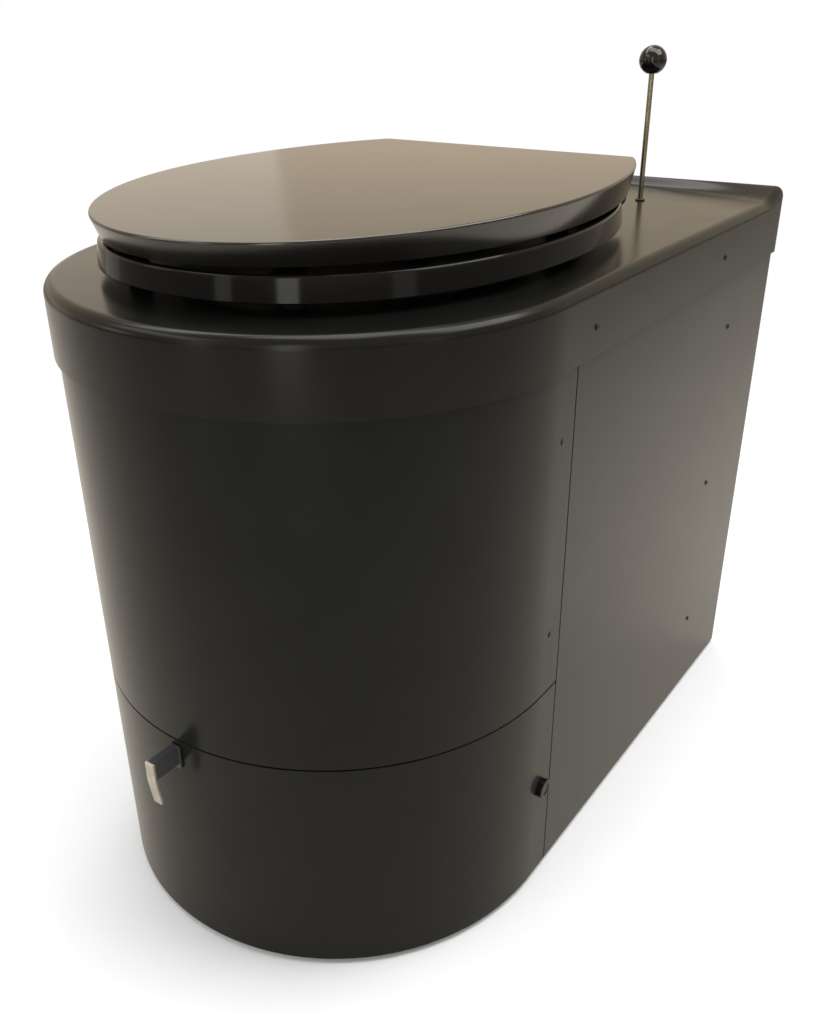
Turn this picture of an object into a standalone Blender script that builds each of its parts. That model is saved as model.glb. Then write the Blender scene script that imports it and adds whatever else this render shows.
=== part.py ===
"""Incinerating toilet with a half-round front, a hinged lid and a pull-out ash drawer.

The housing stands on the floor at z = 0 and faces -Y. Sizes are in metres.
All places are worked out in a design frame whose x = y = 0 is the centre of the
half-round front; the empty named toilet then moves the whole object so that the
middle of its overall box is at x = y = 0.
"""
import math

import bmesh
import bpy
from mathutils import Matrix, Vector

# Housing
HALF_WIDTH = 0.195
REAR_DEPTH = 0.443
FOOT_HEIGHT = 0.005
SHEET = 0.0015
GAP = 0.0003
SEAM_WIDTH = 0.0012
SEAM_DEPTH = 0.025
WELD = 0.00001
DOOR_TOP_SHARE = 0.3824
OVERRUN = 0.002

# Deck cover
DECK_HEIGHT = 0.506
DECK_WALL = 0.0025
DECK_CLEARANCE = 0.0005
SKIRT_HEIGHT = 0.051
SHOULDER_RADIUS = 0.008
CORNER_RADIUS = 0.006
LIP_RISE = 0.010
LIP_DEPTH = 0.016
LIP_SWEEP = 0.031
OPENING_HALF_WIDTH = 0.116
OPENING_FRONT = 0.118
OPENING_REAR = 0.150
OPENING_CENTRE = 0.020

# Seat ring and lid
SEAT_LIFT = 0.008
SEAT_THICKNESS = 0.017
SEAT_HALF_WIDTH = 0.167
SEAT_FRONT = 0.158
SEAT_BACK = 0.212
SEAT_WIDEST = 0.062
SEAT_TAIL = 0.250
SEAT_BLUNTNESS = 1.1
SEAT_TAPER = 0.002
SEAT_EDGE_RADIUS = 0.003
SEAT_INNER_RADIUS = 0.006
BEVEL_SHARE = 0.3
SEAT_RIM_WIDTH = 0.046
LID_LIFT = 0.004
LID_HALF_WIDTH = 0.173
LID_FRONT = 0.1685
LID_OVERLAP = 0.0145
LID_WIDEST = 0.0605
LID_TAIL = 0.2746
LID_FRONT_HEIGHT = 0.015
LID_REAR_HEIGHT = 0.0228
LID_CROWN = 0.0015
LID_WALL = 0.0035
LID_EDGE_RADIUS = 0.0015
LID_INSIDE_SHARE = 0.8
LID_SIDE_TUCK = 0.0065
LID_FRONT_TUCK = 0.006
BUFFER_RADIUS = 0.008
BUFFER_SPREAD = 0.135
BUFFER_FRONT_SPREAD = 0.070
BUFFER_FRONT = 0.115
BUFFER_REAR = 0.100

# Seat and lid hinge
HINGE_SETBACK = 0.023
HINGE_RISE = 0.022
HINGE_SPREAD = 0.0775
PIN_RADIUS = 0.004
KNUCKLE_RADIUS = 0.0075
KNUCKLE_WIDTH = 0.012
KNUCKLE_GAP = 0.0006
NOTCH_RISE = 0.012
ARM_LAP = 0.015
ARM_LIFT = 0.0015
PIN_CLEARANCE = 0.0004
POST_FOOT_RADIUS = 0.013
POST_FOOT_HEIGHT = 0.004
STUD_RADIUS = 0.003
STUD_LENGTH = 0.012

# Bowl and its trap
BOWL_SHEET = 0.002
BOWL_INSET = 0.004
BOWL_FLANGE = 0.010
OUTLET_RADIUS = 0.058
OUTLET_CENTRE = 0.035
BOWL_DEPTH = 0.103
THROAT_LENGTH = 0.027
FLAP_SHEET = 0.002
FLAP_HALF_DEPTH = 0.062
FLAP_REACH = 0.131
FLAP_GAP = 0.0006
HUB_RADIUS = 0.0068
SHAFT_RADIUS = 0.004
SHAFT_SPREAD = 0.066
SHAFT_DROP = 0.0031
SHAFT_FRONT = 0.052

# Pull rod, rack and pinion
ROD_RADIUS = 0.0023
ROD_SETBACK = 0.012
ROD_TAIL = 0.045
BALL_RADIUS = 0.012
BALL_RISE = 0.120
TOOTH_COUNT = 20
PITCH_RADIUS = 0.0205
TOOTH_RISE = 0.0018
TOOTH_ROOT = 0.0026
TOOTH_WIDTH_SHARE = 0.36
TOOTH_TIP_SHARE = 0.18
PINION_WIDTH = 0.007
RACK_WIDTH = 0.006
RACK_BACK = 0.0064
RACK_TEETH = 9
RACK_TEETH_ABOVE = 2
BUSH_RADIUS = 0.0045
BUSH_NECK_RADIUS = 0.0032
BUSH_LIP = 0.0012
GUIDE_HEIGHT = 0.012
GUIDE_WIDTH = 0.016
GUIDE_DROP = 0.0673

# Bulkhead, shelf, tray and back panel
BACK_BAY = 0.082
FLANGE_MARGIN = 0.008
BULKHEAD_DROP = 0.026
TRAY_SHEET = 0.002
SHELF_SHEET = 0.002
SHELF_RISE = 0.0095
FLANGE_REACH = 0.005
FLANGE_GAP = 0.0006
REAR_FLANGE = 0.014
FOOT_RADIUS = 0.012
FOOT_SOLE_RADIUS = 0.010
FOOT_FRONT_INSET = 0.0388
FOOT_FRONT_DEGREES = 50.2
FOOT_SIDE_INSET = 0.030
FOOT_REAR_INSET = 0.048
VENT_COUNT = 6
VENT_PITCH = 0.014
VENT_HEIGHT = 0.005
VENT_WIDTH = 0.090
VENT_BASE = 0.070

# Firing chamber
CHAMBER_RADIUS = 0.105
CHAMBER_SHEET = 0.002
CHAMBER_LIP = 0.008
FLAP_ROOM = 0.018
JACKET_GAP = 0.001
JACKET_WALL = 0.022
JACKET_CLEARANCE = 0.006
GRATE_RADIUS = 0.094
GRATE_HEIGHT = 0.006
GRATE_HOLE_RADIUS = 0.088
GRATE_SLOTS = 6
GRATE_SLOT_WIDTH = 0.010
GRATE_SLOT_PITCH = 0.024
ELEMENT_RADIUS = 0.004
ELEMENT_LOOP_RADIUS = 0.086
ELEMENT_RISE = 0.029
ELEMENT_LEG_SPREAD = 0.015
BRACKET_THICKNESS = 0.008
BRACKET_HALF_WIDTH = 0.009

# Exhaust
DUCT_RADIUS = 0.038
DUCT_HEIGHT_SHARE = 0.6154
DUCT_RUN = 0.052
FAN_RADIUS = 0.058
FAN_NECK = 0.036
MOTOR_LENGTH_SHARE = 0.436
HUB_LENGTH_SHARE = 0.22
WHEEL_LENGTH_SHARE = 0.19
WHEEL_HUB_RADIUS = 0.018
BLADE_COUNT = 7
BLADE_CHORD_SHARE = 0.8
BLADE_SHEET = 0.0016
BLADE_PITCH_DEGREES = 38.0
BLADE_CLEARANCE = 0.003
MOTOR_RADIUS = 0.022
MOTOR_SHAFT_RADIUS = 0.003
SPOKE_WIDTH = 0.008
SPOKE_COUNT = 3
FLUE_RADIUS = 0.050
FLUE_REACH = 0.030
FLUE_FLANGE = 0.014

# Electrics
BOX_WIDTH = 0.110
BOX_HEIGHT = 0.080
BOX_DEPTH = 0.045
BOX_INSET = 0.085
BOX_BASE = 0.120
INLET_WIDTH = 0.048
INLET_HEIGHT = 0.028
INLET_DEPTH = 0.024
INLET_INSET = 0.075
INLET_BASE = 0.070
INLET_BEZEL = 0.005
INLET_PIN_LENGTH = 0.012
INLET_PIN_WIDTH = 0.003
INLET_PIN_PITCH = 0.009
INLET_WALL = 0.003

# Ash drawer
CARRIAGE_INSET = 0.038
CARRIAGE_REAR = 0.240
CARRIAGE_SHEET = 0.0015
RAIL_WALL = 0.0015
RAIL_LIP = 0.010
RAIL_FRONT = 0.100
RAIL_REAR = 0.235
RAIL_FOOT = 0.0045
PAN_INSET = 0.037
PAN_FRONT = 0.095
PAN_REAR = 0.165
PAN_HEIGHT = 0.120
PAN_TAPER = 0.010
PAN_RIM = 0.006

# Pull handle and clamp knobs
HANDLE_DROP = 0.004
HANDLE_REACH = 0.0265
HANDLE_ARM_WIDTH = 0.0075
HANDLE_ARM_DEPTH = 0.016
HANDLE_FOOT_WIDTH = 0.010
HANDLE_FOOT_DEPTH = 0.020
HANDLE_FOOT_SHEET = 0.002
GRIP_WIDTH = 0.0085
GRIP_SHEET = 0.0032
GRIP_STRAIGHT = 0.016
GRIP_DROP = 0.039
GRIP_LEAN = 0.003
KNOB_DEPTH = 0.009
KNOB_HEIGHT = 0.0978
KNOB_RADIUS = 0.008
KNOB_LENGTH = 0.005
KNOB_EDGE = 0.0008
KNOB_STUD_RADIUS = 0.0025
KNOB_STUD_LENGTH = 0.008

# Screws
SCREW_HEAD_RADIUS = 0.0025
SCREW_HEAD_HEIGHT = 0.0012
SCREW_SHANK_RADIUS = 0.0014
SCREW_SHANK_LENGTH = 0.0055
SIDE_SCREW_SETBACK = 0.026
SIDE_SCREW_SHARES = (0.8004, 0.4881, 0.1739)
FRONT_SCREW_DEPTH = 0.0094
FRONT_SCREW_SHARES = (0.7964, 0.4862)
SKIRT_SCREW_DEPTHS = (0.043, 0.293)
SKIRT_SCREW_DROP = 0.030

# Facets
ARC_STEPS = 18
CORNER_STEPS = 3
BACK_STEPS = 5
ROUND_STEPS = 24
OVAL_STEPS = 40
EGG_FRONT_STEPS = 18
EGG_REAR_STEPS = 12
SMALL_STEPS = 12
FEW_STEPS = 8
SIDE_SHARES = (0.18, 0.38, 0.58, 0.76, 0.88, 0.92, 0.95, 0.975)
DECK_RING_SHARES = (0.25, 0.60, 1.0)

# Places worked out from the sizes above
INNER_FACE = HALF_WIDTH - SHEET
SEAM_FRONT = SEAM_DEPTH - SEAM_WIDTH / 2
SEAM_REAR = SEAM_DEPTH + SEAM_WIDTH / 2
DOOR_TOP = DECK_HEIGHT * DOOR_TOP_SHARE
TRAY_TOP = FOOT_HEIGHT + TRAY_SHEET
SKIRT_BOTTOM = DECK_HEIGHT - SKIRT_HEIGHT
OVERHANG = DECK_CLEARANCE + DECK_WALL
BACK_PANEL_REAR = REAR_DEPTH - SHEET - GAP
BACK_PANEL_FRONT = BACK_PANEL_REAR - SHEET
BULKHEAD_DEPTH = REAR_DEPTH - BACK_BAY
BULKHEAD_TOP = DECK_HEIGHT - BULKHEAD_DROP
BULKHEAD_FLANGE = SIDE_SCREW_SETBACK + FLANGE_MARGIN
SIDE_SCREW_DEPTH = BULKHEAD_DEPTH - SIDE_SCREW_SETBACK
ROD_DEPTH = BULKHEAD_DEPTH - ROD_SETBACK
JACKET_RADIUS = CHAMBER_RADIUS + JACKET_GAP + JACKET_WALL
FAN_FRONT = OUTLET_CENTRE + JACKET_RADIUS + DUCT_RUN
FAN_LENGTH = BULKHEAD_DEPTH - FAN_FRONT - FAN_NECK
MOTOR_LENGTH = FAN_LENGTH * MOTOR_LENGTH_SHARE
HUB_LENGTH = FAN_LENGTH * HUB_LENGTH_SHARE
WHEEL_LENGTH = FAN_LENGTH * WHEEL_LENGTH_SHARE
BOX_SPREAD = HALF_WIDTH - BOX_INSET
INLET_SPREAD = HALF_WIDTH - INLET_INSET
CARRIAGE_HALF_WIDTH = HALF_WIDTH - CARRIAGE_INSET
PAN_HALF_WIDTH = CARRIAGE_HALF_WIDTH - PAN_INSET
SEAT_BOTTOM = DECK_HEIGHT + SEAT_LIFT
SEAT_TOP = SEAT_BOTTOM + SEAT_THICKNESS
LID_BOTTOM = SEAT_TOP + LID_LIFT
HINGE_HEIGHT = DECK_HEIGHT + HINGE_RISE
HINGE_DEPTH = SEAT_BACK + HINGE_SETBACK
LID_BACK = HINGE_DEPTH + LID_OVERLAP
OUTLET_HEIGHT = DECK_HEIGHT - BOWL_DEPTH
THROAT_HEIGHT = OUTLET_HEIGHT + THROAT_LENGTH
CHAMBER_TOP = OUTLET_HEIGHT - FLAP_ROOM
SHELF_TOP = DOOR_TOP + SHELF_RISE
ELEMENT_HEIGHT = SHELF_TOP + ELEMENT_RISE
DUCT_HEIGHT = SHELF_TOP + (CHAMBER_TOP - SHELF_TOP) * DUCT_HEIGHT_SHARE
BALL_HEIGHT = DECK_HEIGHT + BALL_RISE
HANDLE_HEIGHT = DOOR_TOP - HANDLE_DROP
SKIRT_SCREW_HEIGHT = DECK_HEIGHT - SKIRT_SCREW_DROP
SIDE_SCREW_HEIGHTS = tuple(DECK_HEIGHT * share for share in SIDE_SCREW_SHARES)
FRONT_SCREW_HEIGHTS = tuple(DECK_HEIGHT * share for share in FRONT_SCREW_SHARES)
SHAFT_HEIGHT = OUTLET_HEIGHT - FLAP_GAP - FLAP_SHEET - SHAFT_DROP
GUIDE_BASE = SHAFT_HEIGHT - GUIDE_DROP
ROD_BOTTOM = GUIDE_BASE - ROD_TAIL
ROD_SPREAD = SHAFT_SPREAD + PITCH_RADIUS + TOOTH_ROOT + RACK_BACK / 2
RIGHT, LEFT = 1, -1
SIDES = ((RIGHT, "right"), (LEFT, "left"))


def panel_top():
    """Height of the panels' top edge, just under the inside of the deck's rounded shoulder."""
    facet = math.cos(math.pi / (4 * CORNER_STEPS))
    inner = max(SHOULDER_RADIUS - DECK_WALL, GAP) * facet
    across = min(SHOULDER_RADIUS - OVERHANG, inner)
    return DECK_HEIGHT - SHOULDER_RADIUS + math.sqrt(inner ** 2 - across ** 2) - GAP


PANEL_TOP = panel_top()
FRONT_REACH = HALF_WIDTH + HANDLE_REACH
REAR_REACH = REAR_DEPTH + FLUE_REACH
MIDDLE = (REAR_REACH - FRONT_REACH) / 2


# Materials

def material(name, colour, roughness, metallic=0.0):
    """One Principled BSDF material."""
    made = bpy.data.materials.new(name)
    made.use_nodes = True
    shader = made.node_tree.nodes["Principled BSDF"]
    shader.inputs["Base Color"].default_value = (*colour, 1.0)
    shader.inputs["Roughness"].default_value = roughness
    shader.inputs["Metallic"].default_value = metallic
    made.diffuse_color = (*colour, 1.0)
    return made


FINISHES = {
    "dark_powder_coat": ((0.045, 0.045, 0.043), 0.42, 0.0),
    "deck_coat": ((0.052, 0.051, 0.049), 0.36, 0.0),
    "gloss_black": ((0.010, 0.010, 0.010), 0.12, 0.0),
    "black_plastic": ((0.018, 0.018, 0.018), 0.40, 0.0),
    "black_rubber": ((0.015, 0.015, 0.015), 0.80, 0.0),
    "stainless": ((0.55, 0.53, 0.49), 0.30, 1.0),
    "aluminium": ((0.72, 0.71, 0.68), 0.35, 1.0),
    "galvanised": ((0.45, 0.46, 0.47), 0.45, 1.0),
    "scale_steel": ((0.16, 0.13, 0.11), 0.60, 1.0),
    "mineral_wool": ((0.62, 0.58, 0.48), 0.95, 0.0),
}


# Mesh helpers

def in_design_frame(name, mesh, finish, parent, origin, sharp=35.0):
    """Make the object of a mesh drawn in the design frame, with its origin where it turns or sits."""
    place = Vector(origin)
    mesh.transform(Matrix.Translation(-place))
    mesh.materials.append(material(name + "_finish", *FINISHES[finish]))
    mesh.shade_smooth()
    mesh.set_sharp_from_angle(angle=math.radians(sharp))
    made = bpy.data.objects.new(name, mesh)
    bpy.context.scene.collection.objects.link(made)
    made.parent = parent
    made.location = place - Vector(parent["design_place"])
    made["design_place"] = place
    return made


def empty(name, place, parent=None):
    """An empty that carries one moving group, on its axis."""
    made = bpy.data.objects.new(name, None)
    bpy.context.scene.collection.objects.link(made)
    made["design_place"] = Vector(place)
    if parent is not None:
        made.parent = parent
        made.location = Vector(place) - Vector(parent["design_place"])
    return made


def finished(bm, name):
    """Turn a bmesh into a mesh with its faces pointing out."""
    bmesh.ops.remove_doubles(bm, verts=bm.verts, dist=WELD)
    bmesh.ops.recalc_face_normals(bm, faces=bm.faces)
    mesh = bpy.data.meshes.new(name)
    bm.to_mesh(mesh)
    bm.free()
    return mesh


def prism(outline, low, high, axis="z"):
    """Extrude a flat outline from low to high along an axis.

    The outline is (x, y) for z, (x, z) for y, and (y, z) for x.
    """
    lay = {"z": lambda a, b, c: (a, b, c),
           "y": lambda a, b, c: (a, c, b),
           "x": lambda a, b, c: (c, a, b)}[axis]
    bm = bmesh.new()
    face = bm.faces.new([bm.verts.new(lay(a, b, low)) for a, b in outline])
    moved = bmesh.ops.extrude_face_region(bm, geom=[face])["geom"]
    shift = Vector(lay(0, 0, high - low))
    bmesh.ops.translate(bm, vec=shift, verts=[v for v in moved if isinstance(v, bmesh.types.BMVert)])
    return finished(bm, "prism")


def box(low, high):
    """A block between two corners."""
    bm = bmesh.new()
    bmesh.ops.create_cube(bm, size=1.0)
    middle = (Vector(low) + Vector(high)) / 2
    span = Vector(high) - Vector(low)
    bmesh.ops.scale(bm, vec=span, verts=bm.verts)
    bmesh.ops.translate(bm, vec=middle, verts=bm.verts)
    return finished(bm, "box")


def along(direction):
    """The turn that takes +Z to a direction."""
    return Vector((0, 0, 1)).rotation_difference(Vector(direction)).to_matrix()


def cylinder(start, end, radius, steps=ROUND_STEPS, end_radius=None):
    """A round bar or cone from one point to another."""
    bm = bmesh.new()
    run = Vector(end) - Vector(start)
    bmesh.ops.create_cone(bm, cap_ends=True, segments=steps, radius1=radius,
                          radius2=radius if end_radius is None else end_radius, depth=run.length)
    bmesh.ops.rotate(bm, matrix=along(run), verts=bm.verts)
    bmesh.ops.translate(bm, vec=(Vector(start) + Vector(end)) / 2, verts=bm.verts)
    return finished(bm, "cylinder")


def turned(profile, place, direction=(0, 0, 1), steps=ROUND_STEPS):
    """Turn a profile of (radius, height) points round an axis.

    A profile that starts and ends on the axis is closed by its poles, any other by its own loop.
    """
    bm = bmesh.new()
    on_axis = profile[0][0] == 0
    verts = [bm.verts.new((radius, 0, height)) for radius, height in profile]
    edges = [bm.edges.new(pair) for pair in zip(verts, verts[1:])]
    if not on_axis:
        edges.append(bm.edges.new((verts[-1], verts[0])))
    bmesh.ops.spin(bm, geom=verts + edges, axis=(0, 0, 1), cent=(0, 0, 0),
                   steps=steps, angle=math.tau, use_merge=True)
    bmesh.ops.rotate(bm, matrix=along(direction), verts=bm.verts)
    bmesh.ops.translate(bm, vec=Vector(place), verts=bm.verts)
    bmesh.ops.dissolve_degenerate(bm, dist=WELD, edges=bm.edges)
    return finished(bm, "turned")


def tube_wall(start, end, outer, inner, steps=ROUND_STEPS):
    """A straight tube with a wall between two radii."""
    run = (Vector(end) - Vector(start)).length
    profile = [(inner, 0), (outer, 0), (outer, run), (inner, run)]
    return turned(profile, start, Vector(end) - Vector(start), steps)


def loft(rings, loop=False):
    """Bridge rings of equal length; the ends are capped, or the last ring meets the first."""
    bm = bmesh.new()
    rows = [[bm.verts.new(point) for point in ring] for ring in rings]
    pairs = list(zip(rows, rows[1:]))
    if loop:
        pairs.append((rows[-1], rows[0]))
    for low, high in pairs:
        for i, vert in enumerate(low):
            j = (i + 1) % len(low)
            bm.faces.new((vert, low[j], high[j], high[i]))
    if not loop:
        bm.faces.new(rows[0])
        bm.faces.new(rows[-1])
    return finished(bm, "loft")


def sweep(path, radius, steps=SMALL_STEPS):
    """A round bar of one radius along a flat path in a level plane."""
    rings = []
    for i, point in enumerate(path):
        before = Vector(path[max(i - 1, 0)])
        after = Vector(path[min(i + 1, len(path) - 1)])
        ahead = (after - before).normalized()
        side = Vector((ahead.y, -ahead.x, 0))
        ring = []
        for k in range(steps):
            turn = math.tau * k / steps
            ring.append(Vector(point) + radius * (side * math.cos(turn) + Vector((0, 0, math.sin(turn)))))
        rings.append(ring)
    return loft(rings)


def combined(mesh, others, operation):
    """Cut other meshes from a mesh, or join them to it, with exact Booleans."""
    scene = bpy.context.scene.collection.objects
    body = bpy.data.objects.new("body", mesh)
    scene.link(body)
    tools = []
    for other in others:
        tool = bpy.data.objects.new("tool", other)
        tool.hide_render = True
        tool.display_type = "WIRE"
        scene.link(tool)
        tools.append(tool)
        step = body.modifiers.new("boolean", "BOOLEAN")
        step.object = tool
        step.operation = operation
        step.solver = "EXACT"
    shaped = body.evaluated_get(bpy.context.evaluated_depsgraph_get())
    result = bpy.data.meshes.new_from_object(shaped)
    for unused in [body] + tools:
        bpy.data.objects.remove(unused)
    return result


def cut(mesh, *tools):
    """The mesh less the tools."""
    return combined(mesh, tools, "DIFFERENCE")


def joined(mesh, *others):
    """One closed body from overlapping meshes."""
    return combined(mesh, others, "UNION")


def bore(start, end, radius, steps=ROUND_STEPS):
    """A cutter for a round hole: its flats, not its corners, lie on the radius."""
    return cylinder(start, end, radius / math.cos(math.pi / steps), steps)


def drill(place, direction, radius, depth, steps=SMALL_STEPS):
    """A cutter for a round hole that starts an overrun outside the place."""
    ahead = Vector(direction).normalized()
    start = Vector(place) - ahead * OVERRUN
    return bore(start, start + ahead * (depth + 2 * OVERRUN), radius, steps)


# Outlines

def mirrored(half):
    """Close a half outline, drawn from the front middle to the back middle, with its mirror image."""
    return half + [(-x, y) for x, y in reversed(half[1:-1])]


def rear_bend(offset):
    """The rounded rear corner of the housing, grown by an offset, from the side to the back."""
    radius = max(CORNER_RADIUS + offset, GAP)
    wide = HALF_WIDTH + offset
    back = REAR_DEPTH + offset
    bend = []
    for i in range(CORNER_STEPS + 1):
        turn = math.pi / 2 * i / CORNER_STEPS
        bend.append((wide - radius * (1 - math.cos(turn)), back - radius * (1 - math.sin(turn))))
    return bend


def housing_outline(offset):
    """The D-shaped outline of the housing, grown by an offset."""
    wide = HALF_WIDTH + offset
    half = []
    for i in range(ARC_STEPS + 1):
        turn = math.pi / 2 * i / ARC_STEPS
        half.append((wide * math.sin(turn), -wide * math.cos(turn)))
    bend = rear_bend(offset)
    half += [(wide, bend[0][1] * share) for share in SIDE_SHARES] + bend
    last, back = half[-1]
    half += [(last * (1 - i / BACK_STEPS), back) for i in range(1, BACK_STEPS + 1)]
    return mirrored(half)


def arc_band(outer, inner, end):
    """The plan of a bent sheet round the front, between two radii and back to a depth."""
    def run(radius):
        turns = [math.pi * (i / ARC_STEPS - 1) / 2 for i in range(2 * ARC_STEPS + 1)]
        arc = [(radius * math.sin(turn), -radius * math.cos(turn)) for turn in turns]
        return [(-radius, end)] + arc + [(radius, end)]
    return run(outer) + list(reversed(run(inner)))


def egg(half_width, front, widest, tail, back, bluntness=1.0, tuck=0.0, front_tuck=0.0):
    """The plan of the lid or seat: an oval front, a rear that narrows, and a straight back.

    The bluntness fills the front corners out. The tuck draws the sides and back in, and the front
    tuck the front, as an undercut wall needs.
    """
    reach = front + widest - front_tuck
    wide = half_width - tuck
    end = back - tuck
    half = []
    for i in range(EGG_FRONT_STEPS + 1):
        turn = math.pi / 2 * i / EGG_FRONT_STEPS
        across, ahead = (part ** (1 / bluntness) for part in (math.sin(turn), max(math.cos(turn), 0.0)))
        half.append((wide * across, widest - reach * ahead))
    last_turn = math.asin(min((end - widest) / tail, 1.0))
    for i in range(1, EGG_REAR_STEPS + 1):
        turn = last_turn * i / EGG_REAR_STEPS
        half.append((wide * math.cos(turn), widest + tail * math.sin(turn)))
    half += [(half[-1][0] / 2, end), (0.0, end)]
    return mirrored(half)


def oval(half_width, front, rear, centre, steps):
    """A rounded opening that reaches further back than forward."""
    points = []
    for i in range(steps):
        turn = math.tau * i / steps
        reach = front if math.cos(turn) > 0 else rear
        points.append((half_width * math.sin(turn), centre - reach * math.cos(turn)))
    return points


def lift(points, height):
    """Flat points at one height."""
    return [(x, y, height) for x, y in points]


# Deck cover

def lip(x, y):
    """Rise of the deck towards its back edge; it starts further forward near the sides."""
    back = REAR_DEPTH + OVERHANG
    start = back - LIP_DEPTH - LIP_SWEEP * (x / HALF_WIDTH) ** 2
    share = min(max((y - start) / (back - start), 0.0), 1.0)
    return LIP_RISE * share * share * (3 - 2 * share)


def deck_ring(offset, height):
    """One ring of the deck at an offset from the housing, raised by the lip."""
    return [(x, y, height + lip(x, y)) for x, y in housing_outline(offset)]


def opening_ring(outer, height):
    """The edge of the seat opening, point for point with an outer ring."""
    ring = []
    for x, y, _ in outer:
        reach = OPENING_REAR if y > OPENING_CENTRE else OPENING_FRONT
        turn = math.atan2(x / OPENING_HALF_WIDTH, (OPENING_CENTRE - y) / reach)
        ring.append((OPENING_HALF_WIDTH * math.sin(turn), OPENING_CENTRE - reach * math.cos(turn), height))
    return ring


def deck_surface(offset, top, radius, skirt):
    """Rings from the skirt's lower edge over the shoulder to the seat opening."""
    rings = [[(x, y, skirt) for x, y in housing_outline(offset)]]
    for i in range(CORNER_STEPS + 1):
        turn = math.pi / 2 * i / CORNER_STEPS
        rings.append(deck_ring(offset - radius * (1 - math.cos(turn)), top - radius * (1 - math.sin(turn))))
    for share in DECK_RING_SHARES:
        rings.append(deck_ring(offset - radius - share * LIP_SWEEP, top))
    rings.append(opening_ring(rings[-1], top))
    return rings


def deck_cover(parent):
    """The pressed cover: flat deck with a raised back lip, rounded shoulder and skirt."""
    outside = deck_surface(OVERHANG, DECK_HEIGHT, SHOULDER_RADIUS, SKIRT_BOTTOM)
    inner_radius = max(SHOULDER_RADIUS - DECK_WALL, GAP)
    inside = deck_surface(OVERHANG - DECK_WALL, DECK_HEIGHT - DECK_WALL, inner_radius, SKIRT_BOTTOM)
    mesh = loft(outside + list(reversed(inside)), loop=True)
    holes = [drill((ROD_SPREAD, ROD_DEPTH, DECK_HEIGHT), (0, 0, -1), BUSH_NECK_RADIUS + GAP, DECK_WALL)]
    for side, _ in SIDES:
        holes.append(drill((side * HINGE_SPREAD, HINGE_DEPTH, DECK_HEIGHT), (0, 0, -1),
                           STUD_RADIUS + GAP, DECK_WALL))
        for depth in SKIRT_SCREW_DEPTHS:
            holes.append(drill((side * (HALF_WIDTH + OVERHANG), depth, SKIRT_SCREW_HEIGHT),
                               (-side, 0, 0), SCREW_SHANK_RADIUS + GAP, DECK_WALL))
    in_design_frame("deck_cover", cut(mesh, *holes), "deck_coat", parent, (0, 0, DECK_HEIGHT))


# Housing panels

def side_panel(parent, side, word):
    """A flat side with a joggled front flange behind the front panel and a rear return."""
    flange_out = INNER_FACE - FLANGE_GAP
    flange_in = flange_out - SHEET
    plan = [(HALF_WIDTH, SEAM_REAR)] + rear_bend(0.0)
    plan += [(INNER_FACE - REAR_FLANGE, REAR_DEPTH), (INNER_FACE - REAR_FLANGE, REAR_DEPTH - SHEET)]
    plan += list(reversed(rear_bend(-SHEET)))
    plan += [(INNER_FACE, SEAM_REAR + 2 * SHEET), (flange_in, SEAM_REAR + SHEET), (flange_in, -FLANGE_REACH),
             (flange_out, -FLANGE_REACH), (flange_out, SEAM_REAR)]
    mesh = prism([(side * x, y) for x, y in plan], FOOT_HEIGHT, PANEL_TOP)
    hole = SCREW_SHANK_RADIUS + GAP
    tools = [drill((side * HALF_WIDTH, SIDE_SCREW_DEPTH, height), (-side, 0, 0), hole, SHEET)
             for height in SIDE_SCREW_HEIGHTS]
    tools += [drill((side * HALF_WIDTH, depth, SKIRT_SCREW_HEIGHT), (-side, 0, 0), hole, SHEET)
              for depth in SKIRT_SCREW_DEPTHS]
    tools += [drill((side * flange_out, FRONT_SCREW_DEPTH, height), (-side, 0, 0), hole, SHEET)
              for height in FRONT_SCREW_HEIGHTS]
    reach = KNOB_STUD_RADIUS + GAP
    slot_in = side * (flange_in - OVERRUN)
    slot_out = side * (flange_out + OVERRUN)
    tools.append(drill((side * flange_out, KNOB_DEPTH, KNOB_HEIGHT), (-side, 0, 0), reach, SHEET))
    tools.append(box((min(slot_in, slot_out), -FLANGE_REACH - OVERRUN, KNOB_HEIGHT - reach),
                     (max(slot_in, slot_out), KNOB_DEPTH, KNOB_HEIGHT + reach)))
    in_design_frame("side_panel_" + word, cut(mesh, *tools), "dark_powder_coat", parent,
                    (side * HALF_WIDTH, REAR_DEPTH / 2, FOOT_HEIGHT))


def front_panel(parent):
    """The upper half-round wrap between the ash drawer and the deck."""
    mesh = prism(arc_band(HALF_WIDTH, INNER_FACE, SEAM_FRONT), DOOR_TOP + SEAM_WIDTH, PANEL_TOP)
    tools = [drill((side * HALF_WIDTH, FRONT_SCREW_DEPTH, height), (-side, 0, 0),
                   SCREW_SHANK_RADIUS + GAP, SHEET)
             for side, _ in SIDES for height in FRONT_SCREW_HEIGHTS]
    in_design_frame("front_panel", cut(mesh, *tools), "dark_powder_coat", parent,
                    (0, -HALF_WIDTH, DOOR_TOP))


def base_tray(parent):
    """The floor of the housing."""
    narrow = INNER_FACE - FLANGE_GAP - SHEET - GAP
    wide = INNER_FACE - GAP
    step = SEAM_REAR + 3 * SHEET
    turns = [math.pi * (i / ARC_STEPS - 1) / 2 for i in range(2 * ARC_STEPS + 1)]
    outline = [(narrow * math.sin(turn), -narrow * math.cos(turn)) for turn in turns]
    back = BACK_PANEL_FRONT - GAP
    bend = CORNER_RADIUS
    outline += [(narrow, step), (wide, step), (wide, back - bend), (wide - bend, back), (bend - wide, back),
                (-wide, back - bend), (-wide, step), (-narrow, step)]
    in_design_frame("base_tray", prism(outline, FOOT_HEIGHT, TRAY_TOP), "galvanised", parent,
                    (0, 0, FOOT_HEIGHT))


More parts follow.
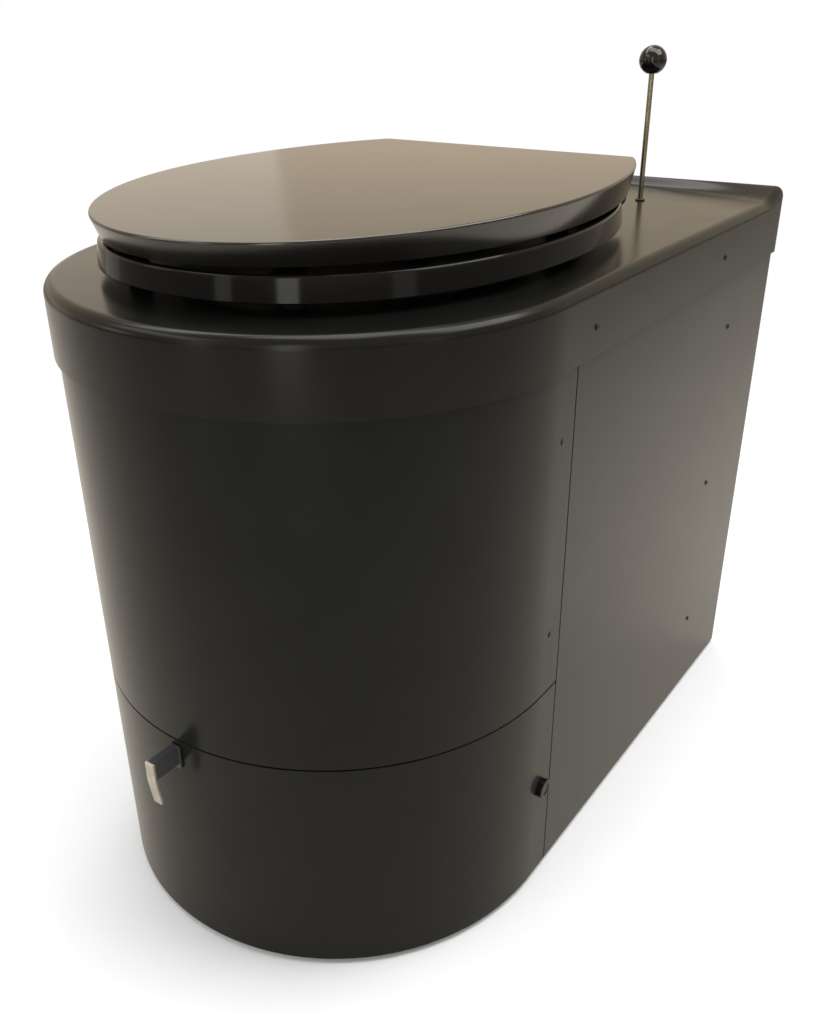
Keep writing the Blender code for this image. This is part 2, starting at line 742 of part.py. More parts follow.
def feet(parent):
    """Four rubber feet under the tray."""
    reach = HALF_WIDTH - FOOT_FRONT_INSET
    turn = math.radians(FOOT_FRONT_DEGREES)
    wide, ahead = reach * math.sin(turn), reach * math.cos(turn)
    rear_wide, back = HALF_WIDTH - FOOT_SIDE_INSET, REAR_DEPTH - FOOT_REAR_INSET
    places = (("front_right", wide, -ahead), ("front_left", -wide, -ahead),
              ("rear_right", rear_wide, back), ("rear_left", -rear_wide, back))
    for word, x, y in places:
        mesh = cylinder((x, y, 0), (x, y, FOOT_HEIGHT - GAP), FOOT_SOLE_RADIUS, end_radius=FOOT_RADIUS)
        in_design_frame("foot_" + word, mesh, "black_rubber", parent, (x, y, 0))


def back_panel(parent):
    """The back plate, with the flue hole, the power inlet's cut-out and air slots."""
    wide = HALF_WIDTH - CORNER_RADIUS
    mesh = box((-wide, BACK_PANEL_FRONT, FOOT_HEIGHT), (wide, BACK_PANEL_REAR, PANEL_TOP))
    tools = [drill((0, BACK_PANEL_FRONT, DUCT_HEIGHT), (0, 1, 0), FLUE_RADIUS + GAP, SHEET, ROUND_STEPS)]
    tools.append(box((INLET_SPREAD - INLET_WIDTH / 2 - GAP, BACK_PANEL_FRONT - OVERRUN, INLET_BASE - GAP),
                     (INLET_SPREAD + INLET_WIDTH / 2 + GAP, BACK_PANEL_REAR + OVERRUN,
                      INLET_BASE + INLET_HEIGHT + GAP)))
    for i in range(VENT_COUNT):
        low = VENT_BASE + i * VENT_PITCH
        tools.append(box((-INLET_SPREAD - VENT_WIDTH / 2, BACK_PANEL_FRONT - OVERRUN, low),
                         (-INLET_SPREAD + VENT_WIDTH / 2, BACK_PANEL_REAR + OVERRUN, low + VENT_HEIGHT)))
    in_design_frame("back_panel", cut(mesh, *tools), "dark_powder_coat", parent,
                    (0, BACK_PANEL_REAR, FOOT_HEIGHT))


def bulkhead(parent):
    """The cross wall that carries the fan, the pull rod's guide and the shaft's rear bearing."""
    wide = INNER_FACE - GAP
    rear = BULKHEAD_DEPTH + SHEET
    front = BULKHEAD_DEPTH - BULKHEAD_FLANGE
    plan = [(wide, front), (wide, rear), (-wide, rear), (-wide, front), (-wide + SHEET, front),
            (-wide + SHEET, BULKHEAD_DEPTH), (wide - SHEET, BULKHEAD_DEPTH), (wide - SHEET, front)]
    mesh = prism(plan, TRAY_TOP + GAP, BULKHEAD_TOP)
    tools = [drill((0, BULKHEAD_DEPTH, DUCT_HEIGHT), (0, 1, 0), FLUE_RADIUS + GAP, SHEET, ROUND_STEPS),
             drill((SHAFT_SPREAD, BULKHEAD_DEPTH, SHAFT_HEIGHT), (0, 1, 0), SHAFT_RADIUS + GAP, SHEET)]
    tools += [drill((side * wide, SIDE_SCREW_DEPTH, height), (-side, 0, 0), SCREW_SHANK_RADIUS + GAP, SHEET)
              for side, _ in SIDES for height in SIDE_SCREW_HEIGHTS]
    in_design_frame("bulkhead", cut(mesh, *tools), "galvanised", parent, (0, BULKHEAD_DEPTH, TRAY_TOP))


def chamber_shelf(parent):
    """The shelf across the housing above the drawer that carries the firing chamber."""
    narrow = INNER_FACE - FLANGE_GAP - SHEET - GAP
    turns = [math.pi * (i / ARC_STEPS - 1) / 2 for i in range(2 * ARC_STEPS + 1)]
    outline = [(narrow * math.sin(turn), -narrow * math.cos(turn)) for turn in turns]
    back = BULKHEAD_DEPTH - GAP
    outline += [(narrow, back), (-narrow, back)]
    mesh = prism(outline, SHELF_TOP - SHELF_SHEET, SHELF_TOP)
    hole = bore((0, OUTLET_CENTRE, SHELF_TOP - SHELF_SHEET - OVERRUN),
                (0, OUTLET_CENTRE, SHELF_TOP + OVERRUN), GRATE_HOLE_RADIUS)
    in_design_frame("chamber_shelf", cut(mesh, hole), "galvanised", parent, (0, OUTLET_CENTRE, SHELF_TOP))


# Bowl, trap and firing chamber

def bowl(parent):
    """The stainless bowl: it hangs by its flange in the deck's opening and narrows to a round outlet."""
    def rim(grow, height):
        return lift(oval(OPENING_HALF_WIDTH + grow, OPENING_FRONT + grow, OPENING_REAR + grow,
                         OPENING_CENTRE, OVAL_STEPS), height)

    def throat(radius, height):
        return lift(oval(radius, radius, radius, OUTLET_CENTRE, OVAL_STEPS), height)

    top = DECK_HEIGHT + GAP
    inner = -BOWL_INSET - BOWL_SHEET
    rings = [rim(BOWL_FLANGE, top), rim(-BOWL_INSET, top), throat(OUTLET_RADIUS + BOWL_SHEET, THROAT_HEIGHT),
             throat(OUTLET_RADIUS + BOWL_SHEET, OUTLET_HEIGHT), throat(OUTLET_RADIUS, OUTLET_HEIGHT),
             throat(OUTLET_RADIUS, THROAT_HEIGHT), rim(inner, top + BOWL_SHEET),
             rim(BOWL_FLANGE, top + BOWL_SHEET)]
    in_design_frame("bowl", loft(rings, loop=True), "stainless", parent, (0, OUTLET_CENTRE, DECK_HEIGHT))


def flap(parent):
    """The flap that closes the bowl's outlet, with its hub round the shaft."""
    high = OUTLET_HEIGHT - FLAP_GAP
    low = high - FLAP_SHEET
    plate = box((SHAFT_SPREAD - FLAP_REACH, OUTLET_CENTRE - FLAP_HALF_DEPTH, low),
                (SHAFT_SPREAD, OUTLET_CENTRE + FLAP_HALF_DEPTH, high))
    front = (SHAFT_SPREAD, OUTLET_CENTRE - FLAP_HALF_DEPTH, SHAFT_HEIGHT)
    rear = (SHAFT_SPREAD, OUTLET_CENTRE + FLAP_HALF_DEPTH, SHAFT_HEIGHT)
    hub = cylinder(front, rear, HUB_RADIUS)
    mesh = joined(plate, hub)
    hole = bore(Vector(front) - Vector((0, OVERRUN, 0)), Vector(rear) + Vector((0, OVERRUN, 0)),
                SHAFT_RADIUS + GAP)
    in_design_frame("trap_flap", cut(mesh, hole), "stainless", parent,
                    (SHAFT_SPREAD, OUTLET_CENTRE, SHAFT_HEIGHT))


def flap_shaft(parent):
    """The shaft that turns the flap, from the front bearing back through the bulkhead."""
    front = (SHAFT_SPREAD, -SHAFT_FRONT, SHAFT_HEIGHT)
    rear = (SHAFT_SPREAD, BULKHEAD_DEPTH + SHEET + OVERRUN, SHAFT_HEIGHT)
    in_design_frame("flap_shaft", cylinder(front, rear, SHAFT_RADIUS), "stainless", parent, front)


def shaft_brackets(parent):
    """Two bearing blocks that stand on the chamber's top lip."""
    ring = CHAMBER_RADIUS - CHAMBER_LIP / 2
    reach = math.sqrt(max(ring ** 2 - SHAFT_SPREAD ** 2, GAP ** 2))
    for word, way in (("front", -1), ("rear", 1)):
        depth = OUTLET_CENTRE + way * reach
        base = CHAMBER_TOP + GAP
        block = box((SHAFT_SPREAD - BRACKET_HALF_WIDTH, depth - BRACKET_THICKNESS / 2, base),
                    (SHAFT_SPREAD + BRACKET_HALF_WIDTH, depth + BRACKET_THICKNESS / 2,
                     SHAFT_HEIGHT + HUB_RADIUS))
        hole = drill((SHAFT_SPREAD, depth - BRACKET_THICKNESS / 2, SHAFT_HEIGHT), (0, 1, 0),
                     SHAFT_RADIUS + GAP, BRACKET_THICKNESS)
        in_design_frame("shaft_bracket_" + word, cut(block, hole), "galvanised", parent,
                        (SHAFT_SPREAD, depth, base))


def chamber(parent):
    """The firing chamber: an open tube with an inward lip at its top."""
    low = SHELF_TOP + GAP
    inner = CHAMBER_RADIUS - CHAMBER_SHEET
    lip_edge = CHAMBER_RADIUS - CHAMBER_LIP
    profile = [(inner, low), (CHAMBER_RADIUS, low), (CHAMBER_RADIUS, CHAMBER_TOP), (lip_edge, CHAMBER_TOP),
               (lip_edge, CHAMBER_TOP - CHAMBER_SHEET), (inner, CHAMBER_TOP - CHAMBER_SHEET)]
    mesh = turned(profile, (0, OUTLET_CENTRE, 0))
    rear = OUTLET_CENTRE + CHAMBER_RADIUS
    tools = [bore((0, OUTLET_CENTRE, DUCT_HEIGHT), (0, rear + OVERRUN, DUCT_HEIGHT), DUCT_RADIUS + GAP)]
    tools += [bore((side * ELEMENT_LEG_SPREAD, OUTLET_CENTRE, ELEMENT_HEIGHT),
                   (side * ELEMENT_LEG_SPREAD, rear + OVERRUN, ELEMENT_HEIGHT),
                   ELEMENT_RADIUS + GAP, SMALL_STEPS) for side, _ in SIDES]
    in_design_frame("firing_chamber", cut(mesh, *tools), "scale_steel", parent, (0, OUTLET_CENTRE, low))


def jacket(parent):
    """The mineral wool jacket round the chamber."""
    inner = CHAMBER_RADIUS + JACKET_GAP
    outer = JACKET_RADIUS
    low = SHELF_TOP + GAP
    mesh = tube_wall((0, OUTLET_CENTRE, low), (0, OUTLET_CENTRE, CHAMBER_TOP), outer, inner)
    rear = OUTLET_CENTRE + outer
    tools = [bore((0, OUTLET_CENTRE, DUCT_HEIGHT), (0, rear + OVERRUN, DUCT_HEIGHT), DUCT_RADIUS + GAP)]
    leg = ELEMENT_RADIUS + GAP
    tools.append(box((-ELEMENT_LEG_SPREAD - leg, OUTLET_CENTRE, ELEMENT_HEIGHT - leg),
                     (ELEMENT_LEG_SPREAD + leg, rear + OVERRUN, ELEMENT_HEIGHT + leg)))
    in_design_frame("chamber_jacket", cut(mesh, *tools), "mineral_wool", parent, (0, OUTLET_CENTRE, low))


def grate(parent):
    """The slotted grate between the chamber and the ash pan."""
    low = SHELF_TOP + GAP
    mesh = cylinder((0, OUTLET_CENTRE, low), (0, OUTLET_CENTRE, low + GRATE_HEIGHT), GRATE_RADIUS)
    tools = []
    for i in range(GRATE_SLOTS):
        across = (i - (GRATE_SLOTS - 1) / 2) * GRATE_SLOT_PITCH
        room = GRATE_HOLE_RADIUS - GRATE_SLOT_WIDTH
        reach = math.sqrt(max(room ** 2 - across ** 2, GAP ** 2))
        left, right = across - GRATE_SLOT_WIDTH / 2, across + GRATE_SLOT_WIDTH / 2
        tools.append(box((left, OUTLET_CENTRE - reach, low - OVERRUN),
                         (right, OUTLET_CENTRE + reach, low + GRATE_HEIGHT + OVERRUN)))
    in_design_frame("fire_grate", cut(mesh, *tools), "scale_steel", parent, (0, OUTLET_CENTRE, low))


def heating_element(parent):
    """One bent tube: in through the chamber's rear, round inside the wall, and out again."""
    rear = OUTLET_CENTRE + JACKET_RADIUS + JACKET_CLEARANCE
    start = math.asin(ELEMENT_LEG_SPREAD / ELEMENT_LOOP_RADIUS)
    loop_end = OUTLET_CENTRE + ELEMENT_LOOP_RADIUS * math.cos(start)
    path = [(ELEMENT_LEG_SPREAD, rear, ELEMENT_HEIGHT),
            (ELEMENT_LEG_SPREAD, loop_end + ELEMENT_RADIUS, ELEMENT_HEIGHT)]
    for i in range(ROUND_STEPS + 1):
        turn = start + (math.tau - 2 * start) * i / ROUND_STEPS
        path.append((ELEMENT_LOOP_RADIUS * math.sin(turn),
                     OUTLET_CENTRE + ELEMENT_LOOP_RADIUS * math.cos(turn), ELEMENT_HEIGHT))
    path += [(-x, y, z) for x, y, z in reversed(path[:2])]
    in_design_frame("heating_element", sweep(path, ELEMENT_RADIUS, FEW_STEPS), "scale_steel", parent,
                    (0, OUTLET_CENTRE, ELEMENT_HEIGHT))


# Exhaust

def exhaust_duct(parent):
    """The duct from the chamber's wall to the fan housing."""
    start = (0, OUTLET_CENTRE + CHAMBER_RADIUS - CHAMBER_SHEET, DUCT_HEIGHT)
    end = (0, FAN_FRONT - GAP, DUCT_HEIGHT)
    mesh = tube_wall(start, end, DUCT_RADIUS, DUCT_RADIUS - SHEET)
    in_design_frame("exhaust_duct", mesh, "scale_steel", parent, start)


def fan_housing(parent):
    """The fan's casing, with a stepped inlet, carried in the bulkhead's hole."""
    inner = FAN_RADIUS - SHEET
    mouth = DUCT_RADIUS - SHEET
    neck = FLUE_RADIUS - SHEET
    body = FAN_LENGTH
    tail = BULKHEAD_DEPTH + SHEET + FAN_RADIUS - FLUE_RADIUS - FAN_FRONT
    profile = [(mouth, 0), (FAN_RADIUS, 0), (FAN_RADIUS, body), (FLUE_RADIUS, body), (FLUE_RADIUS, tail),
               (neck, tail), (neck, body - SHEET), (inner, body - SHEET), (inner, SHEET), (mouth, SHEET)]
    mesh = turned(profile, (0, FAN_FRONT, DUCT_HEIGHT), (0, 1, 0))
    in_design_frame("fan_housing", mesh, "galvanised", parent, (0, FAN_FRONT, DUCT_HEIGHT))


def fan_motor(parent):
    """The fan's motor with its shaft, on three spokes that reach the casing."""
    rear = FAN_FRONT + FAN_LENGTH - SHEET - GAP
    front = rear - MOTOR_LENGTH
    nose = front - HUB_LENGTH
    mesh = cylinder((0, front, DUCT_HEIGHT), (0, rear, DUCT_HEIGHT), MOTOR_RADIUS)
    parts = [cylinder((0, nose, DUCT_HEIGHT), (0, front + OVERRUN, DUCT_HEIGHT), MOTOR_SHAFT_RADIUS,
                      SMALL_STEPS)]
    reach = math.sqrt((FAN_RADIUS - SHEET - GAP) ** 2 - SPOKE_WIDTH ** 2) - GAP
    middle = (front + rear) / 2
    for i in range(SPOKE_COUNT):
        spoke = box((-SPOKE_WIDTH / 2, middle - SPOKE_WIDTH / 2, 0),
                    (SPOKE_WIDTH / 2, middle + SPOKE_WIDTH / 2, reach))
        turn = Matrix.Rotation(math.tau * i / SPOKE_COUNT, 4, "Y")
        spoke.transform(Matrix.Translation((0, 0, DUCT_HEIGHT)) @ turn)
        parts.append(spoke)
    in_design_frame("fan_motor", joined(mesh, *parts), "black_plastic", parent, (0, front, DUCT_HEIGHT))


def fan_wheel(parent):
    """The fan's wheel: a hub with pitched blades on the motor's shaft."""
    rear = FAN_FRONT + FAN_LENGTH - SHEET - GAP - MOTOR_LENGTH - SHEET
    front = rear - WHEEL_LENGTH
    middle = (front + rear) / 2
    hub = cylinder((0, front, DUCT_HEIGHT), (0, rear, DUCT_HEIGHT), WHEEL_HUB_RADIUS)
    chord = WHEEL_LENGTH * BLADE_CHORD_SHARE
    tip = FAN_RADIUS - SHEET - BLADE_CLEARANCE
    blades = []
    for i in range(BLADE_COUNT):
        blade = box((-BLADE_SHEET / 2, -chord / 2, WHEEL_HUB_RADIUS / 2), (BLADE_SHEET / 2, chord / 2, tip))
        twist = Matrix.Rotation(math.radians(BLADE_PITCH_DEGREES), 4, "Z")
        turn = Matrix.Rotation(math.tau * i / BLADE_COUNT, 4, "Y")
        blade.transform(Matrix.Translation((0, middle, DUCT_HEIGHT)) @ turn @ twist)
        blades.append(blade)
    mesh = joined(hub, *blades)
    hole = bore((0, front - OVERRUN, DUCT_HEIGHT), (0, rear + OVERRUN, DUCT_HEIGHT),
                MOTOR_SHAFT_RADIUS + GAP, SMALL_STEPS)
    in_design_frame("fan_wheel", cut(mesh, hole), "aluminium", parent, (0, middle, DUCT_HEIGHT))


def flue_collar(parent):
    """The flanged spigot on the back for the flue pipe."""
    start = BULKHEAD_DEPTH + SHEET + FAN_RADIUS - FLUE_RADIUS + GAP
    seat = BACK_PANEL_REAR + GAP - start
    end = REAR_DEPTH + FLUE_REACH - start
    inner = FLUE_RADIUS - SHEET
    profile = [(inner, 0), (FLUE_RADIUS, 0), (FLUE_RADIUS, seat), (FLUE_RADIUS + FLUE_FLANGE, seat),
               (FLUE_RADIUS + FLUE_FLANGE, seat + SHEET), (FLUE_RADIUS, seat + SHEET), (FLUE_RADIUS, end),
               (inner, end)]
    mesh = turned(profile, (0, start, DUCT_HEIGHT), (0, 1, 0))
    in_design_frame("flue_collar", mesh, "stainless", parent, (0, REAR_DEPTH, DUCT_HEIGHT))


# Electrics

def control_box(parent):
    """The closed box of the timer and relays, on the rear of the bulkhead."""
    near = BULKHEAD_DEPTH + SHEET + GAP
    mesh = box((-BOX_SPREAD - BOX_WIDTH / 2, near, BOX_BASE),
               (-BOX_SPREAD + BOX_WIDTH / 2, near + BOX_DEPTH, BOX_BASE + BOX_HEIGHT))
    in_design_frame("control_box", mesh, "black_plastic", parent, (-BOX_SPREAD, near, BOX_BASE))


def power_inlet(parent):
    """The appliance inlet in the back panel: a bezel, a well and three blades."""
    left = INLET_SPREAD - INLET_WIDTH / 2
    right = INLET_SPREAD + INLET_WIDTH / 2
    top = INLET_BASE + INLET_HEIGHT
    seat = BACK_PANEL_REAR + GAP
    deep = seat - INLET_DEPTH
    body = box((left, deep, INLET_BASE), (right, seat + SHEET / 2, top))
    bezel = box((left - INLET_BEZEL, seat, INLET_BASE - INLET_BEZEL),
                (right + INLET_BEZEL, seat + SHEET, top + INLET_BEZEL))
    well = box((left + INLET_WALL, deep + INLET_WALL, INLET_BASE + INLET_WALL),
               (right - INLET_WALL, seat + SHEET + OVERRUN, top - INLET_WALL))
    pins = []
    for i in (-1, 0, 1):
        x = INLET_SPREAD + i * INLET_PIN_PITCH
        z = (INLET_BASE + top) / 2
        pins.append(box((x - INLET_PIN_WIDTH / 4, deep + INLET_WALL / 2, z - INLET_PIN_WIDTH),
                        (x + INLET_PIN_WIDTH / 4, deep + INLET_WALL + INLET_PIN_LENGTH, z + INLET_PIN_WIDTH)))
    mesh = joined(cut(joined(body, bezel), well), *pins)
    in_design_frame("power_inlet", mesh, "black_plastic", parent, (INLET_SPREAD, seat, INLET_BASE))


# Pull rod and gear

def tooth_outline(count, pitch):
    """The outline of the pinion: straight-sided teeth, thinner than their spaces so that they run free."""
    outline = []
    root = pitch - TOOTH_ROOT
    tip = pitch + TOOTH_RISE
    step = math.tau / count
    for i in range(count):
        middle = step * i
        base_half = step * TOOTH_WIDTH_SHARE / 2 * (1 + TOOTH_ROOT / (TOOTH_ROOT + TOOTH_RISE))
        tip_half = step * TOOTH_TIP_SHARE / 2
        for radius, turn in ((root, middle - base_half), (tip, middle - tip_half),
                             (tip, middle + tip_half), (root, middle + base_half)):
            outline.append((radius * math.cos(turn), radius * math.sin(turn)))
    return outline


def pinion(parent):
    """The pinion on the flap's shaft, one tooth pointing at the rack."""
    outline = [(SHAFT_SPREAD + a, SHAFT_HEIGHT + b) for a, b in tooth_outline(TOOTH_COUNT, PITCH_RADIUS)]
    low = ROD_DEPTH - PINION_WIDTH / 2
    mesh = prism(outline, low, low + PINION_WIDTH, "y")
    hole = drill((SHAFT_SPREAD, low, SHAFT_HEIGHT), (0, 1, 0), SHAFT_RADIUS + GAP, PINION_WIDTH)
    in_design_frame("drive_pinion", cut(mesh, hole), "stainless", parent,
                    (SHAFT_SPREAD, ROD_DEPTH, SHAFT_HEIGHT))


def rack(parent):
    """The rack on the pull rod, its teeth half a pitch from the pinion's."""
    pitch = math.tau * PITCH_RADIUS / TOOTH_COUNT
    line = SHAFT_SPREAD + PITCH_RADIUS
    root = line + TOOTH_ROOT
    tip = line - TOOTH_RISE
    back = root + RACK_BACK
    half_root = pitch * TOOTH_WIDTH_SHARE / 2 * (1 + TOOTH_ROOT / (TOOTH_ROOT + TOOTH_RISE))
    half_tip = pitch * TOOTH_TIP_SHARE / 2
    outline = []
    first = SHAFT_HEIGHT + pitch * (RACK_TEETH_ABOVE - 1 / 2)
    for i in range(RACK_TEETH):
        z = first - pitch * i
        outline += [(root, z + half_root), (tip, z + half_tip), (tip, z - half_tip), (root, z - half_root)]
    low = outline[-1][1] - half_root
    high = outline[0][1] + half_root
    outline = [(root, high)] + outline + [(root, low), (back, low), (back, high)]
    mesh = prism(outline, ROD_DEPTH - RACK_WIDTH / 2, ROD_DEPTH + RACK_WIDTH / 2, "y")
    hole = bore((ROD_SPREAD, ROD_DEPTH, low - OVERRUN), (ROD_SPREAD, ROD_DEPTH, high + OVERRUN),
                ROD_RADIUS + GAP, SMALL_STEPS)
    in_design_frame("rod_rack", cut(mesh, hole), "stainless", parent, (ROD_SPREAD, ROD_DEPTH, SHAFT_HEIGHT))


def pull_rod(parent):
    """The straight steel rod from the ball knob down to its lower guide."""
    low = (ROD_SPREAD, ROD_DEPTH, ROD_BOTTOM)
    high = (ROD_SPREAD, ROD_DEPTH, BALL_HEIGHT - BALL_RADIUS + PIN_RADIUS)
    in_design_frame("pull_rod", cylinder(low, high, ROD_RADIUS, SMALL_STEPS), "stainless", parent,
                    (ROD_SPREAD, ROD_DEPTH, DECK_HEIGHT))


def ball_knob(parent):
    """The ball on the rod's end, with a flat underside and a blind hole."""
    steps = SMALL_STEPS
    flat = ROD_RADIUS * 2
    low_turn = -math.acos(flat / BALL_RADIUS)
    profile = [(0, BALL_RADIUS * math.sin(low_turn))]
    for i in range(steps + 1):
        turn = low_turn + (math.pi / 2 - low_turn) * i / steps
        profile.append((BALL_RADIUS * math.cos(turn) if i < steps else 0, BALL_RADIUS * math.sin(turn)))
    mesh = turned(profile, (ROD_SPREAD, ROD_DEPTH, BALL_HEIGHT))
    hole = bore((ROD_SPREAD, ROD_DEPTH, BALL_HEIGHT - BALL_RADIUS - OVERRUN),
                (ROD_SPREAD, ROD_DEPTH, BALL_HEIGHT - BALL_RADIUS + PIN_RADIUS + GAP),
                ROD_RADIUS + GAP, SMALL_STEPS)
    in_design_frame("ball_knob", cut(mesh, hole), "gloss_black", parent, (ROD_SPREAD, ROD_DEPTH, BALL_HEIGHT))


def rod_bush(parent):
    """The bush that the rod slides through in the deck."""
    inner = ROD_RADIUS + GAP
    neck = BUSH_NECK_RADIUS
    drop = DECK_WALL + SHEET
    profile = [(inner, -drop), (neck, -drop), (neck, GAP), (BUSH_RADIUS, GAP), (BUSH_RADIUS, GAP + BUSH_LIP),
               (inner, GAP + BUSH_LIP)]
    mesh = turned(profile, (ROD_SPREAD, ROD_DEPTH, DECK_HEIGHT), steps=SMALL_STEPS)
    in_design_frame("rod_bush", mesh, "black_plastic", parent, (ROD_SPREAD, ROD_DEPTH, DECK_HEIGHT))


def rod_guide(parent):
    """The lower guide block of the rod, on the front of the bulkhead."""
    near = ROD_DEPTH - GUIDE_WIDTH / 2
    block = box((ROD_SPREAD - GUIDE_WIDTH / 2, near, GUIDE_BASE),
                (ROD_SPREAD + GUIDE_WIDTH / 2, BULKHEAD_DEPTH - GAP, GUIDE_BASE + GUIDE_HEIGHT))
    hole = drill((ROD_SPREAD, ROD_DEPTH, GUIDE_BASE), (0, 0, 1), ROD_RADIUS + GAP, GUIDE_HEIGHT)
    in_design_frame("rod_guide", cut(block, hole), "black_plastic", parent,
                    (ROD_SPREAD, BULKHEAD_DEPTH, GUIDE_BASE))


# Seat and lid

def seat_outline(grow):
    """The plan of the seat ring, grown or drawn in."""
    return egg(SEAT_HALF_WIDTH + grow, SEAT_FRONT + grow, SEAT_WIDEST, SEAT_TAIL, SEAT_BACK + grow,
               SEAT_BLUNTNESS)


def seat_inside(grow):
    """The plan of the seat's opening, point for point with its outline."""
    ring = []
    for x, y in seat_outline(0.0):
        turn = math.atan2(x / SEAT_HALF_WIDTH, -(y - SEAT_WIDEST) / (SEAT_FRONT + SEAT_WIDEST))
        if y > SEAT_WIDEST:
            turn = math.atan2(x / SEAT_HALF_WIDTH, -(y - SEAT_WIDEST) / (SEAT_BACK - SEAT_WIDEST))
        wide = SEAT_HALF_WIDTH - SEAT_RIM_WIDTH + grow
        front = SEAT_FRONT + SEAT_WIDEST - SEAT_RIM_WIDTH + grow
        rear = SEAT_BACK - SEAT_WIDEST - SEAT_RIM_WIDTH + grow
        reach = front if math.cos(turn) > 0 else rear
        ring.append((wide * math.sin(turn), SEAT_WIDEST - reach * math.cos(turn)))
    return ring


def knuckle(low, high):
    """A hinge barrel on the axis of the seat and lid."""
    return cylinder((low, HINGE_DEPTH, HINGE_HEIGHT), (high, HINGE_DEPTH, HINGE_HEIGHT), KNUCKLE_RADIUS)


def knuckle_bore(low, high):
    """The cutter of a hinge barrel's bore."""
    return bore((low - OVERRUN, HINGE_DEPTH, HINGE_HEIGHT), (high + OVERRUN, HINGE_DEPTH, HINGE_HEIGHT),
                PIN_RADIUS + PIN_CLEARANCE)


def seat_ring(parent):
    """The seat: a ring with a slightly leaning wall, a rounded upper edge and two hinge arms."""
    edge = SEAT_EDGE_RADIUS
    bevel = edge * BEVEL_SHARE
    rings = [lift(seat_outline(SEAT_TAPER), SEAT_BOTTOM), lift(seat_outline(0.0), SEAT_TOP - edge),
             lift(seat_outline(-bevel), SEAT_TOP - bevel), lift(seat_outline(-edge), SEAT_TOP),
             lift(seat_inside(SEAT_INNER_RADIUS), SEAT_TOP - bevel),
             lift(seat_inside(0.0), SEAT_TOP - SEAT_INNER_RADIUS),
             lift(seat_inside(0.0), SEAT_BOTTOM)]
    mesh = loft(rings, loop=True)
    arms, bores = [], []
    for side, _ in SIDES:
        near = HINGE_SPREAD + KNUCKLE_WIDTH / 2 + KNUCKLE_GAP
        low, high = sorted((side * near, side * (near + KNUCKLE_WIDTH)))
        arms.append(box((low, SEAT_BACK - ARM_LAP, SEAT_BOTTOM + ARM_LIFT),
                        (high, HINGE_DEPTH, SEAT_TOP - edge)))
        arms.append(knuckle(low, high))
        bores.append(knuckle_bore(low, high))
    mesh = cut(joined(mesh, *arms), *bores)
    in_design_frame("seat_ring", mesh, "gloss_black", parent, (0, HINGE_DEPTH, HINGE_HEIGHT))


def seat_buffers(parent):
    """Four rubber buffers between the seat ring and the deck."""
    places = (("front_right", BUFFER_FRONT_SPREAD, -BUFFER_FRONT),
              ("front_left", -BUFFER_FRONT_SPREAD, -BUFFER_FRONT),
              ("rear_right", BUFFER_SPREAD, BUFFER_REAR),
              ("rear_left", -BUFFER_SPREAD, BUFFER_REAR))
    for word, x, y in places:
        mesh = cylinder((x, y, DECK_HEIGHT + GAP), (x, y, SEAT_BOTTOM - GAP), BUFFER_RADIUS, SMALL_STEPS)
        in_design_frame("seat_buffer_" + word, mesh, "black_rubber", parent, (x, y, SEAT_BOTTOM))


def lid_top(y):
    """Height of the lid's upper face, which rises a little towards the hinge."""
    share = (y + LID_FRONT) / (LID_FRONT + LID_BACK)
    bow = 4 * share * (1 - share)
    return LID_BOTTOM + LID_FRONT_HEIGHT + (LID_REAR_HEIGHT - LID_FRONT_HEIGHT) * share + LID_CROWN * bow


def lid_outline(grow, share=0.0):
    """The plan of the lid at a share of the way down its undercut wall."""
    return egg(LID_HALF_WIDTH + grow, LID_FRONT + grow, LID_WIDEST, LID_TAIL + grow, LID_BACK + grow,
               tuck=LID_SIDE_TUCK * share, front_tuck=LID_FRONT_TUCK * share)


